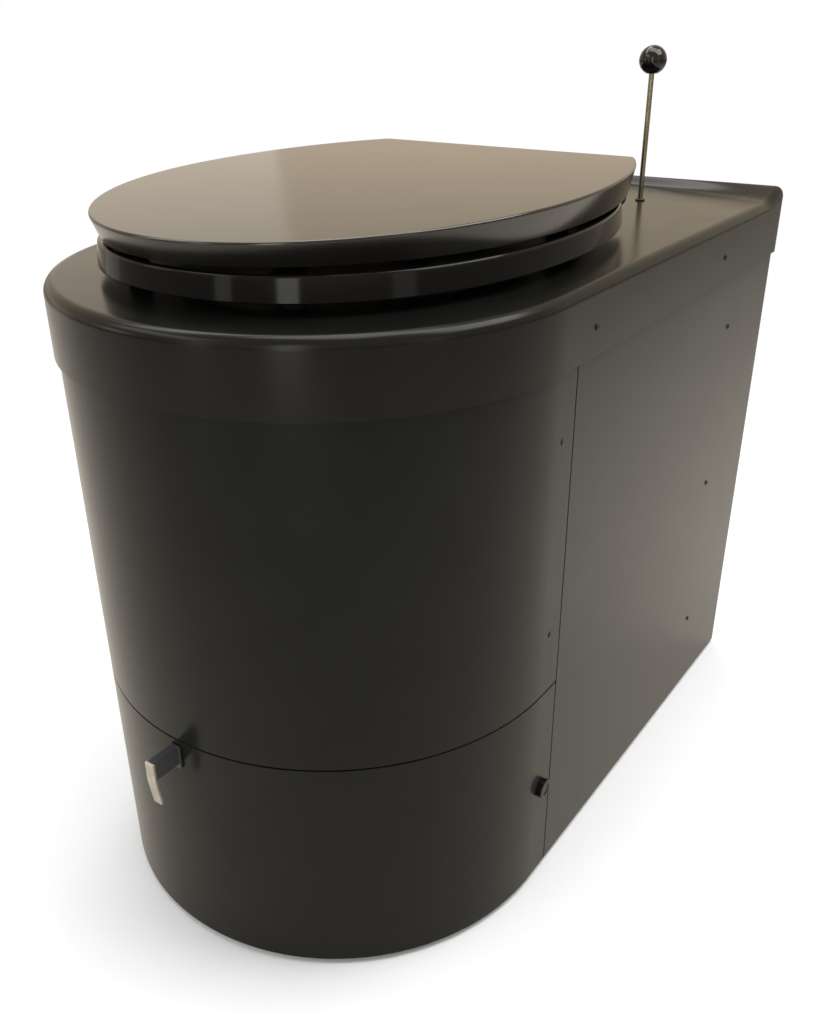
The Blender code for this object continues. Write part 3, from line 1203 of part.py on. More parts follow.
def lid(parent):
    """The lid: a flat-topped shell with a wall that tucks in under the edge, most at the front.

    Its rear wall is notched at each hinge post, so that it clears the post when it is open.
    """
    def top_ring(grow, drop):
        return [(x, y, lid_top(y) - drop) for x, y in lid_outline(grow)]

    edge = LID_EDGE_RADIUS
    bevel = edge * BEVEL_SHARE
    centre = [(x / 2, LID_WIDEST + (y - LID_WIDEST) / 2) for x, y in lid_outline(0.0)]
    rings = [[(x, y, lid_top(y)) for x, y in centre],
             top_ring(-edge, 0.0), top_ring(-bevel, bevel), top_ring(0.0, edge),
             lift(lid_outline(0.0, 1.0), LID_BOTTOM), lift(lid_outline(-LID_WALL, 1.0), LID_BOTTOM),
             [(x, y, lid_top(y) - LID_WALL) for x, y in lid_outline(-LID_WALL - edge, LID_INSIDE_SHARE)],
             [(x, y, lid_top(y) - LID_WALL) for x, y in centre]]
    mesh = loft(rings)
    arms, tools = [], []
    for side, _ in SIDES:
        near = HINGE_SPREAD - KNUCKLE_WIDTH / 2 - KNUCKLE_GAP
        low, high = sorted((side * (near - KNUCKLE_WIDTH), side * near))
        arms.append(box((low, HINGE_DEPTH - KNUCKLE_RADIUS, HINGE_HEIGHT),
                        (high, HINGE_DEPTH + KNUCKLE_RADIUS, lid_top(HINGE_DEPTH) - LID_WALL / 2)))
        arms.append(knuckle(low, high))
        tools.append(knuckle_bore(low, high))
        room = (KNUCKLE_WIDTH + KNUCKLE_GAP) / 2
        tools.append(box((side * HINGE_SPREAD - room, HINGE_DEPTH, LID_BOTTOM - OVERRUN),
                         (side * HINGE_SPREAD + room, LID_BACK + OVERRUN, HINGE_HEIGHT + NOTCH_RISE)))
        rest = LID_WALL
        arms.append(cylinder((side * BUFFER_SPREAD, BUFFER_REAR, SEAT_TOP + GAP),
                             (side * BUFFER_SPREAD, BUFFER_REAR, lid_top(BUFFER_REAR) - rest / 2),
                             BUFFER_RADIUS, SMALL_STEPS))
        arms.append(cylinder((side * BUFFER_FRONT_SPREAD, -BUFFER_FRONT, SEAT_TOP + GAP),
                             (side * BUFFER_FRONT_SPREAD, -BUFFER_FRONT, lid_top(-BUFFER_FRONT) - rest / 2),
                             BUFFER_RADIUS, SMALL_STEPS))
    mesh = cut(joined(mesh, *arms), *tools)
    in_design_frame("lid", mesh, "gloss_black", parent, (0, HINGE_DEPTH, HINGE_HEIGHT))


def hinge_post(parent, side, word):
    """A hinge post: a round foot on the deck with its stud, a neck and the pin across its top."""
    x = side * HINGE_SPREAD
    foot_low = DECK_HEIGHT + GAP
    foot = cylinder((x, HINGE_DEPTH, foot_low), (x, HINGE_DEPTH, foot_low + POST_FOOT_HEIGHT),
                    POST_FOOT_RADIUS)
    stud = cylinder((x, HINGE_DEPTH, DECK_HEIGHT - STUD_LENGTH),
                    (x, HINGE_DEPTH, foot_low + POST_FOOT_HEIGHT / 2), STUD_RADIUS, SMALL_STEPS)
    half = KNUCKLE_WIDTH / 2
    neck = box((x - half, HINGE_DEPTH - KNUCKLE_RADIUS, foot_low + POST_FOOT_HEIGHT / 2),
               (x + half, HINGE_DEPTH + KNUCKLE_RADIUS, HINGE_HEIGHT))
    barrel = knuckle(x - half, x + half)
    reach = half + KNUCKLE_GAP + KNUCKLE_WIDTH
    pin = cylinder((x - reach, HINGE_DEPTH, HINGE_HEIGHT), (x + reach, HINGE_DEPTH, HINGE_HEIGHT), PIN_RADIUS)
    mesh = joined(foot, stud, neck, barrel, pin)
    in_design_frame("hinge_post_" + word, mesh, "black_plastic", parent, (x, HINGE_DEPTH, DECK_HEIGHT))


# Ash drawer

def drawer_front(parent):
    """The lower half-round front, which comes forward with the ash pan."""
    mesh = prism(arc_band(HALF_WIDTH, INNER_FACE, SEAM_FRONT), FOOT_HEIGHT, DOOR_TOP)
    tools = [drill((side * HALF_WIDTH, KNOB_DEPTH, KNOB_HEIGHT), (-side, 0, 0), KNOB_STUD_RADIUS + GAP, SHEET)
             for side, _ in SIDES]
    in_design_frame("drawer_front", cut(mesh, *tools), "dark_powder_coat", parent,
                    (0, -HALF_WIDTH, FOOT_HEIGHT))


def rail_slot():
    """Heights of the rail's slot: the carriage's plate runs in it."""
    low = TRAY_TOP + GAP + RAIL_FOOT
    return low, low + CARRIAGE_SHEET + 2 * GAP


def carriage(parent):
    """The drawer's plate: it joins the front to the pan and runs in the two rails."""
    low, _ = rail_slot()
    radius = INNER_FACE - GAP
    steps = 2 * ARC_STEPS
    limit = math.asin(min(CARRIAGE_HALF_WIDTH / radius, 1.0))
    turns = [-limit + 2 * limit * i / steps for i in range(steps + 1)]
    facet = math.cos(math.pi / (4 * ARC_STEPS))
    outline = [(radius * facet * math.sin(turn), -radius * facet * math.cos(turn)) for turn in turns]
    edge = outline[-1][0]
    outline += [(edge, CARRIAGE_REAR), (-edge, CARRIAGE_REAR)]
    mesh = prism(outline, low + GAP, low + GAP + CARRIAGE_SHEET)
    in_design_frame("drawer_carriage", mesh, "galvanised", parent, (0, 0, low))


def rail(parent, side, word):
    """A channel on the tray that holds one edge of the carriage."""
    low, high = rail_slot()
    bottom = TRAY_TOP + GAP
    inner = CARRIAGE_HALF_WIDTH - RAIL_LIP
    slot = CARRIAGE_HALF_WIDTH + GAP
    outer = slot + RAIL_WALL
    section = [(inner, bottom), (outer, bottom), (outer, high + RAIL_WALL), (inner, high + RAIL_WALL),
               (inner, high), (slot, high), (slot, low), (inner, low)]
    mesh = prism([(side * x, z) for x, z in section], -RAIL_FRONT, RAIL_REAR, "y")
    in_design_frame("drawer_rail_" + word, mesh, "galvanised", parent, (side * outer, 0, bottom))


def ash_pan(parent):
    """The loose pan that stands on the carriage under the grate."""
    _, high = rail_slot()
    low = high + GAP
    top = low + PAN_HEIGHT

    def ring(grow, height):
        wide = PAN_HALF_WIDTH + grow
        front = -PAN_FRONT - grow
        rear = PAN_REAR + grow
        return [(-wide, front, height), (wide, front, height), (wide, rear, height), (-wide, rear, height)]

    rings = [ring(-PAN_TAPER, low), ring(0.0, top - SHEET), ring(PAN_RIM, top - SHEET), ring(PAN_RIM, top),
             ring(-SHEET, top), ring(-PAN_TAPER - SHEET, low + SHEET)]
    in_design_frame("ash_pan", loft(rings), "galvanised", parent, (0, OUTLET_CENTRE, low))


def pull_handle(parent):
    """The dark foot and arm of the drawer's handle."""
    face = -HALF_WIDTH - GAP
    high = HANDLE_HEIGHT
    half = HANDLE_FOOT_WIDTH / 2
    foot = box((-half, face - HANDLE_FOOT_SHEET, high - HANDLE_FOOT_DEPTH), (half, face, high))
    tip = -HALF_WIDTH - HANDLE_REACH + GRIP_SHEET + GAP
    half = HANDLE_ARM_WIDTH / 2
    arm = box((-half, tip, high - HANDLE_ARM_DEPTH), (half, face - HANDLE_FOOT_SHEET / 2, high))
    in_design_frame("handle_arm", joined(foot, arm), "black_plastic", parent, (0, face, high))


def handle_grip(parent):
    """The light metal strip that hangs from the arm and leans back towards the drawer."""
    front = -HALF_WIDTH - HANDLE_REACH
    back = front + GRIP_SHEET
    top = HANDLE_HEIGHT
    bend = top - GRIP_STRAIGHT
    low = top - GRIP_DROP
    side_view = [(front, top), (back, top), (back, bend), (back + GRIP_LEAN, low), (front + GRIP_LEAN, low),
                 (front, bend)]
    mesh = prism(side_view, -GRIP_WIDTH / 2, GRIP_WIDTH / 2, "x")
    in_design_frame("handle_grip", mesh, "aluminium", parent, (0, front, top))


def clamp_knob(parent, side, word):
    """A round clamp knob with the stud that enters the side panel's open slot."""
    face = HALF_WIDTH + GAP
    out = face + KNOB_LENGTH
    end = face - KNOB_STUD_LENGTH
    profile = [(0, end), (KNOB_STUD_RADIUS, end), (KNOB_STUD_RADIUS, face), (KNOB_RADIUS, face),
               (KNOB_RADIUS, out - KNOB_EDGE), (KNOB_RADIUS - KNOB_EDGE, out), (0, out)]
    mesh = turned(profile, (0, KNOB_DEPTH, KNOB_HEIGHT), (side, 0, 0))
    in_design_frame("clamp_knob_" + word, mesh, "black_plastic", parent,
                    (side * face, KNOB_DEPTH, KNOB_HEIGHT))


# Screws

def screw(parent, name, face, depth, height, side):
    """A round-headed screw driven in from one side."""
    head = face + GAP
    profile = [(0, head - SCREW_SHANK_LENGTH), (SCREW_SHANK_RADIUS, head - SCREW_SHANK_LENGTH),
               (SCREW_SHANK_RADIUS, head), (SCREW_HEAD_RADIUS, head),
               (SCREW_HEAD_RADIUS, head + SCREW_HEAD_HEIGHT / 2),
               (SCREW_HEAD_RADIUS / 2, head + SCREW_HEAD_HEIGHT), (0, head + SCREW_HEAD_HEIGHT)]
    mesh = turned(profile, (0, depth, height), (side, 0, 0), FEW_STEPS)
    in_design_frame(name, mesh, "black_plastic", parent, (side * head, depth, height))


def screws(parent):
    """Four screws on each side: two in the front panel and two in the deck's skirt."""
    for side, word in SIDES:
        for level, height in zip(("upper", "lower"), FRONT_SCREW_HEIGHTS):
            screw(parent, f"front_screw_{word}_{level}", HALF_WIDTH, FRONT_SCREW_DEPTH, height, side)
        for end, depth in zip(("front", "rear"), SKIRT_SCREW_DEPTHS):
            screw(parent, f"skirt_screw_{word}_{end}", HALF_WIDTH + OVERHANG, depth, SKIRT_SCREW_HEIGHT, side)


def main():
    """Clear the scene and build the toilet."""
    for thing in list(bpy.data.objects):
        bpy.data.objects.remove(thing)
    toilet = empty("toilet", (0, 0, 0))
    toilet.location = (0, -MIDDLE, 0)
    base_tray(toilet)
    feet(toilet)
    for side, word in SIDES:
        side_panel(toilet, side, word)
        rail(toilet, side, word)
        hinge_post(toilet, side, word)
    for build in (back_panel, front_panel, deck_cover, bulkhead, chamber_shelf, bowl, chamber, jacket,
                  grate, heating_element, exhaust_duct, fan_housing, fan_motor, flue_collar,
                  control_box, power_inlet, shaft_brackets, rod_bush, rod_guide, seat_ring,
                  seat_buffers, screws):
        build(toilet)
    lid(empty("lid_axis", (0, HINGE_DEPTH, HINGE_HEIGHT), toilet))
    shaft_axis = empty("shaft_axis", (SHAFT_SPREAD, OUTLET_CENTRE, SHAFT_HEIGHT), toilet)
    for build in (flap, flap_shaft, pinion):
        build(shaft_axis)
    rod_line = empty("rod_line", (ROD_SPREAD, ROD_DEPTH, DECK_HEIGHT), toilet)
    for build in (pull_rod, rack, ball_knob):
        build(rod_line)
    fan_wheel(empty("fan_axis", (0, FAN_FRONT, DUCT_HEIGHT), toilet))
    drawer = empty("drawer_line", (0, 0, FOOT_HEIGHT), toilet)
    for build in (drawer_front, carriage, ash_pan, pull_handle, handle_grip):
        build(drawer)
    for side, word in SIDES:
        axis = empty("knob_axis_" + word, (side * HALF_WIDTH, KNOB_DEPTH, KNOB_HEIGHT), drawer)
        clamp_knob(axis, side, word)
    bpy.context.view_layer.update()


main()
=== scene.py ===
"""Looks of an incinerating toilet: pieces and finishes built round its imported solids.

Lengths are metres. Shapes are worked out in the housing's own design frame, whose x = y = 0 is
the centre of the half-round front at floor level; Shell.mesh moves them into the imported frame.
"""
import logging
import math
from dataclasses import dataclass, field, replace
from enum import Enum

import bmesh
import bpy
import numpy as np
from mathutils import Matrix, Vector


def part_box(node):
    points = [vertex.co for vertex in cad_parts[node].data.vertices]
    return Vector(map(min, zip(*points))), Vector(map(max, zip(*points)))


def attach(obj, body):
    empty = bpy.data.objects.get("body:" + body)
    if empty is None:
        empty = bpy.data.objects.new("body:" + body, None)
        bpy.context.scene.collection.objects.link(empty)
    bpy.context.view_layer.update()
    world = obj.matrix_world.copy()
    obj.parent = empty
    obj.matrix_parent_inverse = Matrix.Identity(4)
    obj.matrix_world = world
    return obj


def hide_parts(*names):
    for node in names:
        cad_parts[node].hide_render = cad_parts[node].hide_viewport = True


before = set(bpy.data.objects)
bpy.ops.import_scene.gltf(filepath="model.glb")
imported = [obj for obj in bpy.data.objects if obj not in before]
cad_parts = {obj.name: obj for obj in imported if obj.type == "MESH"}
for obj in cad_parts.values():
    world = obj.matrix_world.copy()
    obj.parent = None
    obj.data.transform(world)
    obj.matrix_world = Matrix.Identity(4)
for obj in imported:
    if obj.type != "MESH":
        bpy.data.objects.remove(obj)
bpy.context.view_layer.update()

Array = np.ndarray
Pair = tuple[float, float]
Place = tuple[float, float, float]
Sizes = tuple[float, ...]
Counts = tuple[int, ...]
log = logging.getLogger("toilet")

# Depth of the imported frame's origin in the design frame.
MIDDLE = 0.12575
# Points nearer to each other than this are one.
WELD = 0.000002
# Clearance between faces that would otherwise touch.
GAP = 0.0003
# Width of the bevel on folded and moulded nodes, and on the small ones that drive the flap.
BEVEL = 0.0004
FINE_BEVEL = 0.0002
# Edges that turn more than the first stay sharp; faces that turn less than the second are one.
SMOOTH_DEGREES = 32.0
FLAT_DEGREES = 1.0
# Keeps a division away from zero.
TINY = 1e-12
QUARTER = np.pi / 2
CIRCLE = 2 * np.pi
MIRROR = np.array([-1, 1])


class Body(Enum):
    """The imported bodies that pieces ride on."""

    HOUSING = "housing"
    LID = "lid"
    TRAP = "trap"
    PULL = "pull"
    DRAWER = "drawer"
    KNOB_RIGHT = "knob_right"
    KNOB_LEFT = "knob_left"


class Side(Enum):
    """The two sides of the housing; the value is the sign of x."""

    RIGHT = 1
    LEFT = -1

    @property
    def word(self) -> str:
        """The side's name as the nodes spell it."""
        return self.name.lower()

    def span(self, near: float, far: float) -> list[float]:
        """Two distances from the middle as places on this side, the lower one first."""
        return sorted((self.value * near, self.value * far))


class Facing(Enum):
    """The way a screw's head faces; the rows say where out, across and up point."""

    RIGHT = ((1, 0, 0), (0, 1, 0), (0, 0, 1))
    LEFT = ((-1, 0, 0), (0, 1, 0), (0, 0, 1))
    REAR = ((0, 1, 0), (1, 0, 0), (0, 0, 1))


# Node helpers

def linear(code: str) -> tuple[float, float, float, float]:
    """Turn an sRGB hex value into linear red, green, blue and alpha.

    Args:
        code: Six hex digits with a leading hash.
    Returns:
        Each channel as ((c + 0.055) / 1.055) to the power 2.4, or c / 12.92 where it is dark.
    """
    parts = [int(code[i:i + 2], 16) / 255 for i in (1, 3, 5)]
    return tuple(c / 12.92 if c <= 0.04045 else ((c + 0.055) / 1.055) ** 2.4 for c in parts) + (1.0,)


def add(tree: bpy.types.NodeTree, kind: str, sockets: dict | None = None, **settings) -> bpy.types.Node:
    """Add one node to a tree.

    Args:
        tree: The node tree.
        kind: The node's type name without its ShaderNode prefix.
        sockets: Values or output sockets for the node's inputs, by name or number.
        settings: Attributes of the node itself.
    Returns:
        The new node.
    """
    node = tree.nodes.new("ShaderNode" + kind)
    for name, value in settings.items():
        setattr(node, name, value)
    for name, value in (sockets or {}).items():
        if isinstance(value, bpy.types.NodeSocket):
            tree.links.new(value, node.inputs[name])
        else:
            node.inputs[name].default_value = value
    return node


# Finishes

@dataclass(frozen=True)
class Finish:
    """A surface with two close tones in patches, a varying roughness and a grain in relief.

    The patches and the grain are noise whose scale is 1 over a real size; stretch multiplies the
    size of the grain along x, y and z, as brushing does. Patch noise between the two ends of the
    spread runs from the dark tone to the light one.
    """

    name: str
    slot: str
    dark: str
    light: str
    patch: float
    rough: Pair
    grain: float
    relief: float
    metallic: float = 0.0
    specular: float = 0.5
    sheen: float = 0.0
    stretch: Place = (1.0, 1.0, 1.0)
    spread: Pair = (0.32, 0.68)
    patch_detail: float = 4.0
    grain_detail: float = 3.0
    grain_fall: float = 0.55

    def pattern(self, tree: bpy.types.NodeTree, place: bpy.types.NodeSocket) -> bpy.types.NodeSocket:
        """The share of the light tone: patch noise drawn apart by a ramp.

        Args:
            tree: The material's tree.
            place: Object coordinates.
        Returns:
            The share, from 0 to 1.
        """
        noise = add(tree, "TexNoise", {"Vector": place, "Scale": 1 / self.patch,
                                       "Detail": self.patch_detail})
        low, high = self.spread
        ramp = add(tree, "MapRange", {"Value": noise.outputs["Fac"], "From Min": low, "From Max": high})
        return ramp.outputs["Result"]

    def build(self) -> bpy.types.Material:
        """Make the material.

        Returns:
            A Principled BSDF with tone, roughness and bump driven by Object coordinates.
        """
        made = bpy.data.materials.new(self.name)
        made.use_nodes = True
        tree = made.node_tree
        shader = tree.nodes["Principled BSDF"]
        place = add(tree, "TexCoord").outputs["Object"]
        share = self.pattern(tree, place)
        tone = add(tree, "Mix", {"Factor": share, "A": linear(self.dark), "B": linear(self.light)},
                   data_type="RGBA")
        low, high = self.rough
        rough = add(tree, "MapRange", {"Value": share, "To Min": high, "To Max": low})
        turned = add(tree, "Mapping", {"Vector": place, "Scale": tuple(1 / s for s in self.stretch)})
        grain = add(tree, "TexNoise", {"Vector": turned.outputs["Vector"], "Scale": 1 / self.grain,
                                       "Detail": self.grain_detail, "Roughness": self.grain_fall})
        bump = add(tree, "Bump", {"Height": grain.outputs["Fac"], "Distance": self.relief,
                                  "Strength": 1.0})
        for socket, value in (("Metallic", self.metallic), ("Specular IOR Level", self.specular),
                              ("Sheen Weight", self.sheen)):
            shader.inputs[socket].default_value = value
        tree.links.new(tone.outputs["Result"], shader.inputs["Base Color"])
        tree.links.new(rough.outputs["Result"], shader.inputs["Roughness"])
        tree.links.new(bump.outputs["Normal"], shader.inputs["Normal"])
        made.diffuse_color = linear(self.light)
        return made


@dataclass(frozen=True)
class Spangle(Finish):
    """Hot-dip galvanised sheet: its zinc freezes in flat flakes, each of its own tone."""

    def pattern(self, tree: bpy.types.NodeTree, place: bpy.types.NodeSocket) -> bpy.types.NodeSocket:
        """The share of the light tone: one random value for each Voronoi flake.

        Args:
            tree: The material's tree.
            place: Object coordinates.
        Returns:
            The share, from 0 to 1.
        """
        flakes = add(tree, "TexVoronoi", {"Vector": place, "Scale": 1 / self.patch})
        parted = add(tree, "SeparateColor", {"Color": flakes.outputs["Color"]})
        return parted.outputs["Red"]


# Polyester powder coat on sheet steel: satin, nearly black with a warm cast, and a fine orange
# peel. The real peel is near 0.8 mm; it is drawn at 2 mm so that it shows.
COAT = Finish("powder_coated_steel_satin", "dark_powder_coat", "#0f110e", "#131512", 0.05,
              (0.225, 0.245), 0.0020, 0.000006, specular=0.11, sheen=0.04)
# The same coat on the deck: a little warmer and smoother, so that it mirrors the seat softly.
DECK_COAT = replace(COAT, name="powder_coated_deck_satin", slot="deck_coat", dark="#10110f",
                    light="#141513", rough=(0.20, 0.22), specular=0.15, sheen=0.0)
# Moulded thermoset, as seats are made of: black and glossy, with a faint long wave from the mould.
GLOSS = Finish("thermoset_moulded_gloss", "gloss_black", "#0b0b0a", "#100f0e", 0.06,
               (0.09, 0.11), 0.018, 0.000012, specular=0.15)
# The same thermoset on the lid, wiped dull by use: it mirrors more, and less sharply.
LID_GLOSS = replace(GLOSS, name="thermoset_lid_gloss", dark="#11100e", light="#141311",
                    rough=(0.15, 0.165), specular=0.5)
# Phenolic ball knob: dead black with a polished skin.
PHENOLIC = replace(GLOSS, name="phenolic_ball_polished", rough=(0.05, 0.08), relief=0.000002,
                   specular=0.33)
# Injection-moulded nylon: a spark-eroded texture near 0.3 mm, drawn at 0.8 mm so that it shows.
NYLON = Finish("nylon_moulded_satin", "black_plastic", "#0e0e0e", "#151514", 0.02,
               (0.38, 0.48), 0.0008, 0.000020, specular=0.35)
# The same moulding in dark grey, for the handle's arm.
GREY_NYLON = replace(NYLON, name="nylon_moulded_grey", dark="#323236", light="#3a3a3f")
# Turned acetal of the clamp knobs: black and as smooth as the coat beside it, so that its face
# mirrors what the side panel mirrors while its rim stays dark.
ACETAL = replace(COAT, name="acetal_turned_satin", slot="black_plastic", dark="#0a0a09",
                 light="#0e0e0d", specular=0.13, sheen=0.0)
# Blackened steel screws: oxide over steel, dark and slightly metallic.
OXIDE = Finish("steel_black_oxide", "screw_black", "#161615", "#262522", 0.002,
               (0.40, 0.52), 0.0004, 0.000008, metallic=0.6)
# Zinc-plated screws of the front flange, dulled by handling: grey, and they glint a little.
ZINC_SCREW = replace(OXIDE, name="steel_zinc_plated_dull", dark="#383733", light="#4e4c47",
                     rough=(0.30, 0.40), metallic=0.85)
# Moulded rubber: matt, with a fine bloom.
RUBBER = Finish("rubber_moulded_matt", "black_rubber", "#0b0b0b", "#121212", 0.012,
                (0.75, 0.88), 0.0010, 0.000030, specular=0.2)
# Stainless steel, brushed round or across: hairlines stretched to about 7 mm.
STAINLESS = Finish("stainless_steel_brushed", "stainless", "#928f88", "#aaa7a0", 0.03,
                   (0.24, 0.34), 0.0006, 0.000008, metallic=1.0, stretch=(12.0, 12.0, 1.0))
# Drawn bar of the same steel: its darker, olive base colour is a painted reflection of warm
# surroundings. Its draw lines run along the rod.
ROD_STEEL = replace(STAINLESS, name="stainless_steel_drawn_bar", dark="#74705e", light="#8c8873",
                    rough=(0.22, 0.32), stretch=(1.0, 1.0, 40.0))
# Mill-finish aluminium strip: light, with drawing lines along its length.
STRIP = Finish("aluminium_strip_satin", "aluminium", "#9c9a94", "#b8b6b0", 0.012,
               (0.34, 0.46), 0.0006, 0.000010, metallic=1.0, stretch=(1.0, 1.0, 30.0))
# Cast aluminium of the fan wheel: dull and slightly rough.
CASTING = replace(STRIP, name="aluminium_cast_dull", rough=(0.45, 0.6), stretch=(1.0, 1.0, 1.0),
                  grain=0.0015, relief=0.00003)
# Galvanised sheet: flakes of 7 mm.
ZINC = Spangle("steel_galvanised_spangle", "galvanised", "#7e8286", "#a4a8ab", 0.007,
               (0.36, 0.52), 0.0020, 0.000010, metallic=1.0)
# Steel scaled by fire: brown and grey blotches, rough.
SCALE = Finish("steel_heat_scaled", "scale_steel", "#2c2621", "#5a4c40", 0.018,
               (0.55, 0.75), 0.0016, 0.000080, metallic=0.7)
# Mineral wool board: a matted fibre surface.
WOOL = Finish("mineral_wool_board", "mineral_wool", "#8f8466", "#c3b998", 0.010,
              (0.92, 0.98), 0.0024, 0.000350, stretch=(1.0, 1.0, 4.0))


# Shape helpers

def unit(way: Array) -> Array:
    """Vectors made one long."""
    return way / np.maximum(np.linalg.norm(way, axis=-1, keepdims=True), TINY)


def pairs(x: float | Array, y: float | Array) -> Array:
    """Flat points (n, 2) from their coordinates, of which one may be a single number."""
    return np.stack(np.broadcast_arrays(x, y), axis=-1)


def whole(half: Array) -> Array:
    """A closed plan from its half at positive x, which starts and ends in the middle."""
    return np.concatenate([half, half[-2:0:-1] * MIRROR])


def facing_oval(outer: Array, centre: float, size: Place, inset: float = 0.0) -> Array:
    """An oval whose points face those of an outer loop.

    A point's turn is the arc tangent of the outer point's place across, in half widths, over its
    distance from the widest place, in reaches.

    Args:
        outer: The loop (n, 2).
        centre: Depth of the oval's widest place.
        size: Its half width and its reach to the front and to the rear.
        inset: How far the points are then drawn in.
    Returns:
        Points (n, 2): the half width times the sine and the reach times the cosine of the turn.
    """
    wide, front, back = size
    reach = np.where(outer[:, 1] > centre, back, front)
    turn = np.arctan2(outer[:, 0] / wide, (centre - outer[:, 1]) / reach)
    return pairs((wide - inset) * np.sin(turn), centre - (reach - inset) * np.cos(turn))


def rounded(corners: Array | list, radii: Sizes, steps: int = 6, closed: bool = True) -> Array:
    """Round the corners of a path, or of many paths side by side.

    At each corner the arc starts r / tan(half the corner's angle) away from it. Its centre lies
    on the bisector, r / sin(half the angle) from the corner, and its points turn evenly from one
    end to the other.

    Args:
        corners: Points with the path along the first axis and coordinates along the last.
        radii: One radius for each corner; a zero keeps the corner as it is.
        steps: Points on each arc.
        closed: Whether the last corner joins the first.
    Returns:
        The path's points, in the same layout.
    """
    corners = np.array(corners, dtype=float)
    rows = []
    count = len(corners)
    for i, radius in enumerate(radii):
        here = corners[i]
        if radius == 0 or (not closed and i in (0, count - 1)):
            rows.append(here[None])
            continue
        back = unit(corners[i - 1] - here)
        ahead = unit(corners[(i + 1) % count] - here)
        half = np.arccos(np.clip((back * ahead).sum(-1, keepdims=True), -1, 1)) / 2
        centre = here + unit(back + ahead) * radius / np.sin(half)
        first = here + back * radius / np.tan(half) - centre
        last = here + ahead * radius / np.tan(half) - centre
        sweep = np.pi - 2 * half
        share = np.linspace(0, 1, steps).reshape((-1,) + (1,) * here.ndim)
        arc = np.sin((1 - share) * sweep) * first + np.sin(share * sweep) * last
        rows.append(centre + arc / np.maximum(np.sin(sweep), TINY))
    return np.concatenate(rows)


def rectangle(low: Pair, high: Pair, radius: float, steps: int = 4) -> Array:
    """A rectangle with rounded corners, anticlockwise."""
    return rounded([low, (high[0], low[1]), high, (low[0], high[1])], (radius,) * 4, steps)


def plug(low: float, high: float, radius: float, edges: Pair, top: float | None = None) -> Array:
    """The profile of a round solid whose two rims are rounded.

    Args:
        low: Where it starts on its axis.
        high: Where it ends.
        radius: Its radius.
        edges: Radii of its lower and its upper rim.
        top: Its radius at the upper end, where that is another.
    Returns:
        Points (n, 2) of radius and height, from the axis back to the axis.
    """
    corners = [(0, low), (radius, low), (radius if top is None else top, high), (0, high)]
    return rounded(corners, (0, *edges, 0), closed=False)


def outward(loop: Array) -> Array:
    """Unit normals of a closed flat loop, pointing away from the side that the loop winds round.

    Args:
        loop: Points (n, 2) that run anticlockwise.
    Returns:
        The chord between each point's neighbours, turned a quarter clockwise and made unit.
    """
    chord = np.roll(loop, -1, axis=0) - np.roll(loop, 1, axis=0)
    return unit(pairs(chord[:, 1], -chord[:, 0]))


def lifted(loop: Array, height: float | Array) -> Array:
    """A flat loop (n, 2) at a height, or at one height for each point."""
    return np.concatenate([loop, np.broadcast_to(height, len(loop))[:, None]], axis=-1)


def stacked(axis: str, first: Array, second: Array, along: Array) -> Array:
    """Points from their place along an axis and across it, the axes taken in turn."""
    order = {"z": (first, second, along), "y": (second, along, first), "x": (along, first, second)}
    return np.stack(order[axis], axis=-1)


def turned(profile: Array, centre: Place, axis: str = "z", steps: int = 64) -> Array:
    """Turn a profile round an axis.

    Args:
        profile: Points (n, 2) of radius and height along the axis.
        centre: The point that height 0 sits at.
        axis: The axis' letter.
        steps: Columns round the axis.
    Returns:
        A grid (n, steps, 3): radius times the cosine and sine of the turn, and the height.
    """
    turn = np.linspace(0, CIRCLE, steps, endpoint=False)
    first, second = profile[:, :1] * np.cos(turn), profile[:, :1] * np.sin(turn)
    return stacked(axis, first, second, np.broadcast_to(profile[:, 1:], first.shape)) + np.array(centre)


def extruded(loop: Array, low: float, high: float, edge: float = 0.0, axis: str = "z",
             steps: int = 4) -> Array:
    """Carry a closed flat loop along an axis, with both end edges rounded.

    The end rows move in by edge times (1 - sine) and along by edge times (1 - cosine) of a
    quarter turn.

    Args:
        loop: Points (n, 2), anticlockwise: (x, y) for z, (z, x) for y and (y, z) for x.
        low: Where the solid starts.
        high: Where it ends.
        edge: Radius of the rounded ends.
        axis: The axis' letter.
        steps: Rows of each rounded end.
    Returns:
        A grid (rows, n, 3).
    """
    turn = np.linspace(0, QUARTER, steps) if edge else np.array([QUARTER])
    inset = edge * (1 - np.sin(turn))
    start = low + edge * (1 - np.cos(turn))
    inset = np.concatenate([inset, inset[::-1]])
    level = np.concatenate([start, (high + low - start)[::-1]])
    flat = loop[None] - outward(loop)[None] * inset[:, None, None]
    return stacked(axis, flat[..., 0], flat[..., 1], np.broadcast_to(level[:, None], flat.shape[:2]))


def smoothed(loop: Array, reach: int) -> Array:
    """Blur a closed loop so that its corners turn round.

    Args:
        loop: Points (n, 2), about evenly spaced.
        reach: Spread of the blur, in points.
    Returns:
        Each point as the mean of its neighbours under a bell curve, cut off at three spreads.
    """
    offsets = np.arange(-3 * reach, 3 * reach + 1)
    weight = np.exp(-offsets ** 2 / (2 * reach ** 2))
    weight /= weight.sum()
    return sum(w * np.roll(loop, -int(k), axis=0) for w, k in zip(weight, offsets))


def smooth_step(share: Array) -> Array:
    """3 s^2 - 2 s^3 of a share s, held between 0 and 1."""
    share = np.clip(share, 0, 1)
    return share * share * (3 - 2 * share)


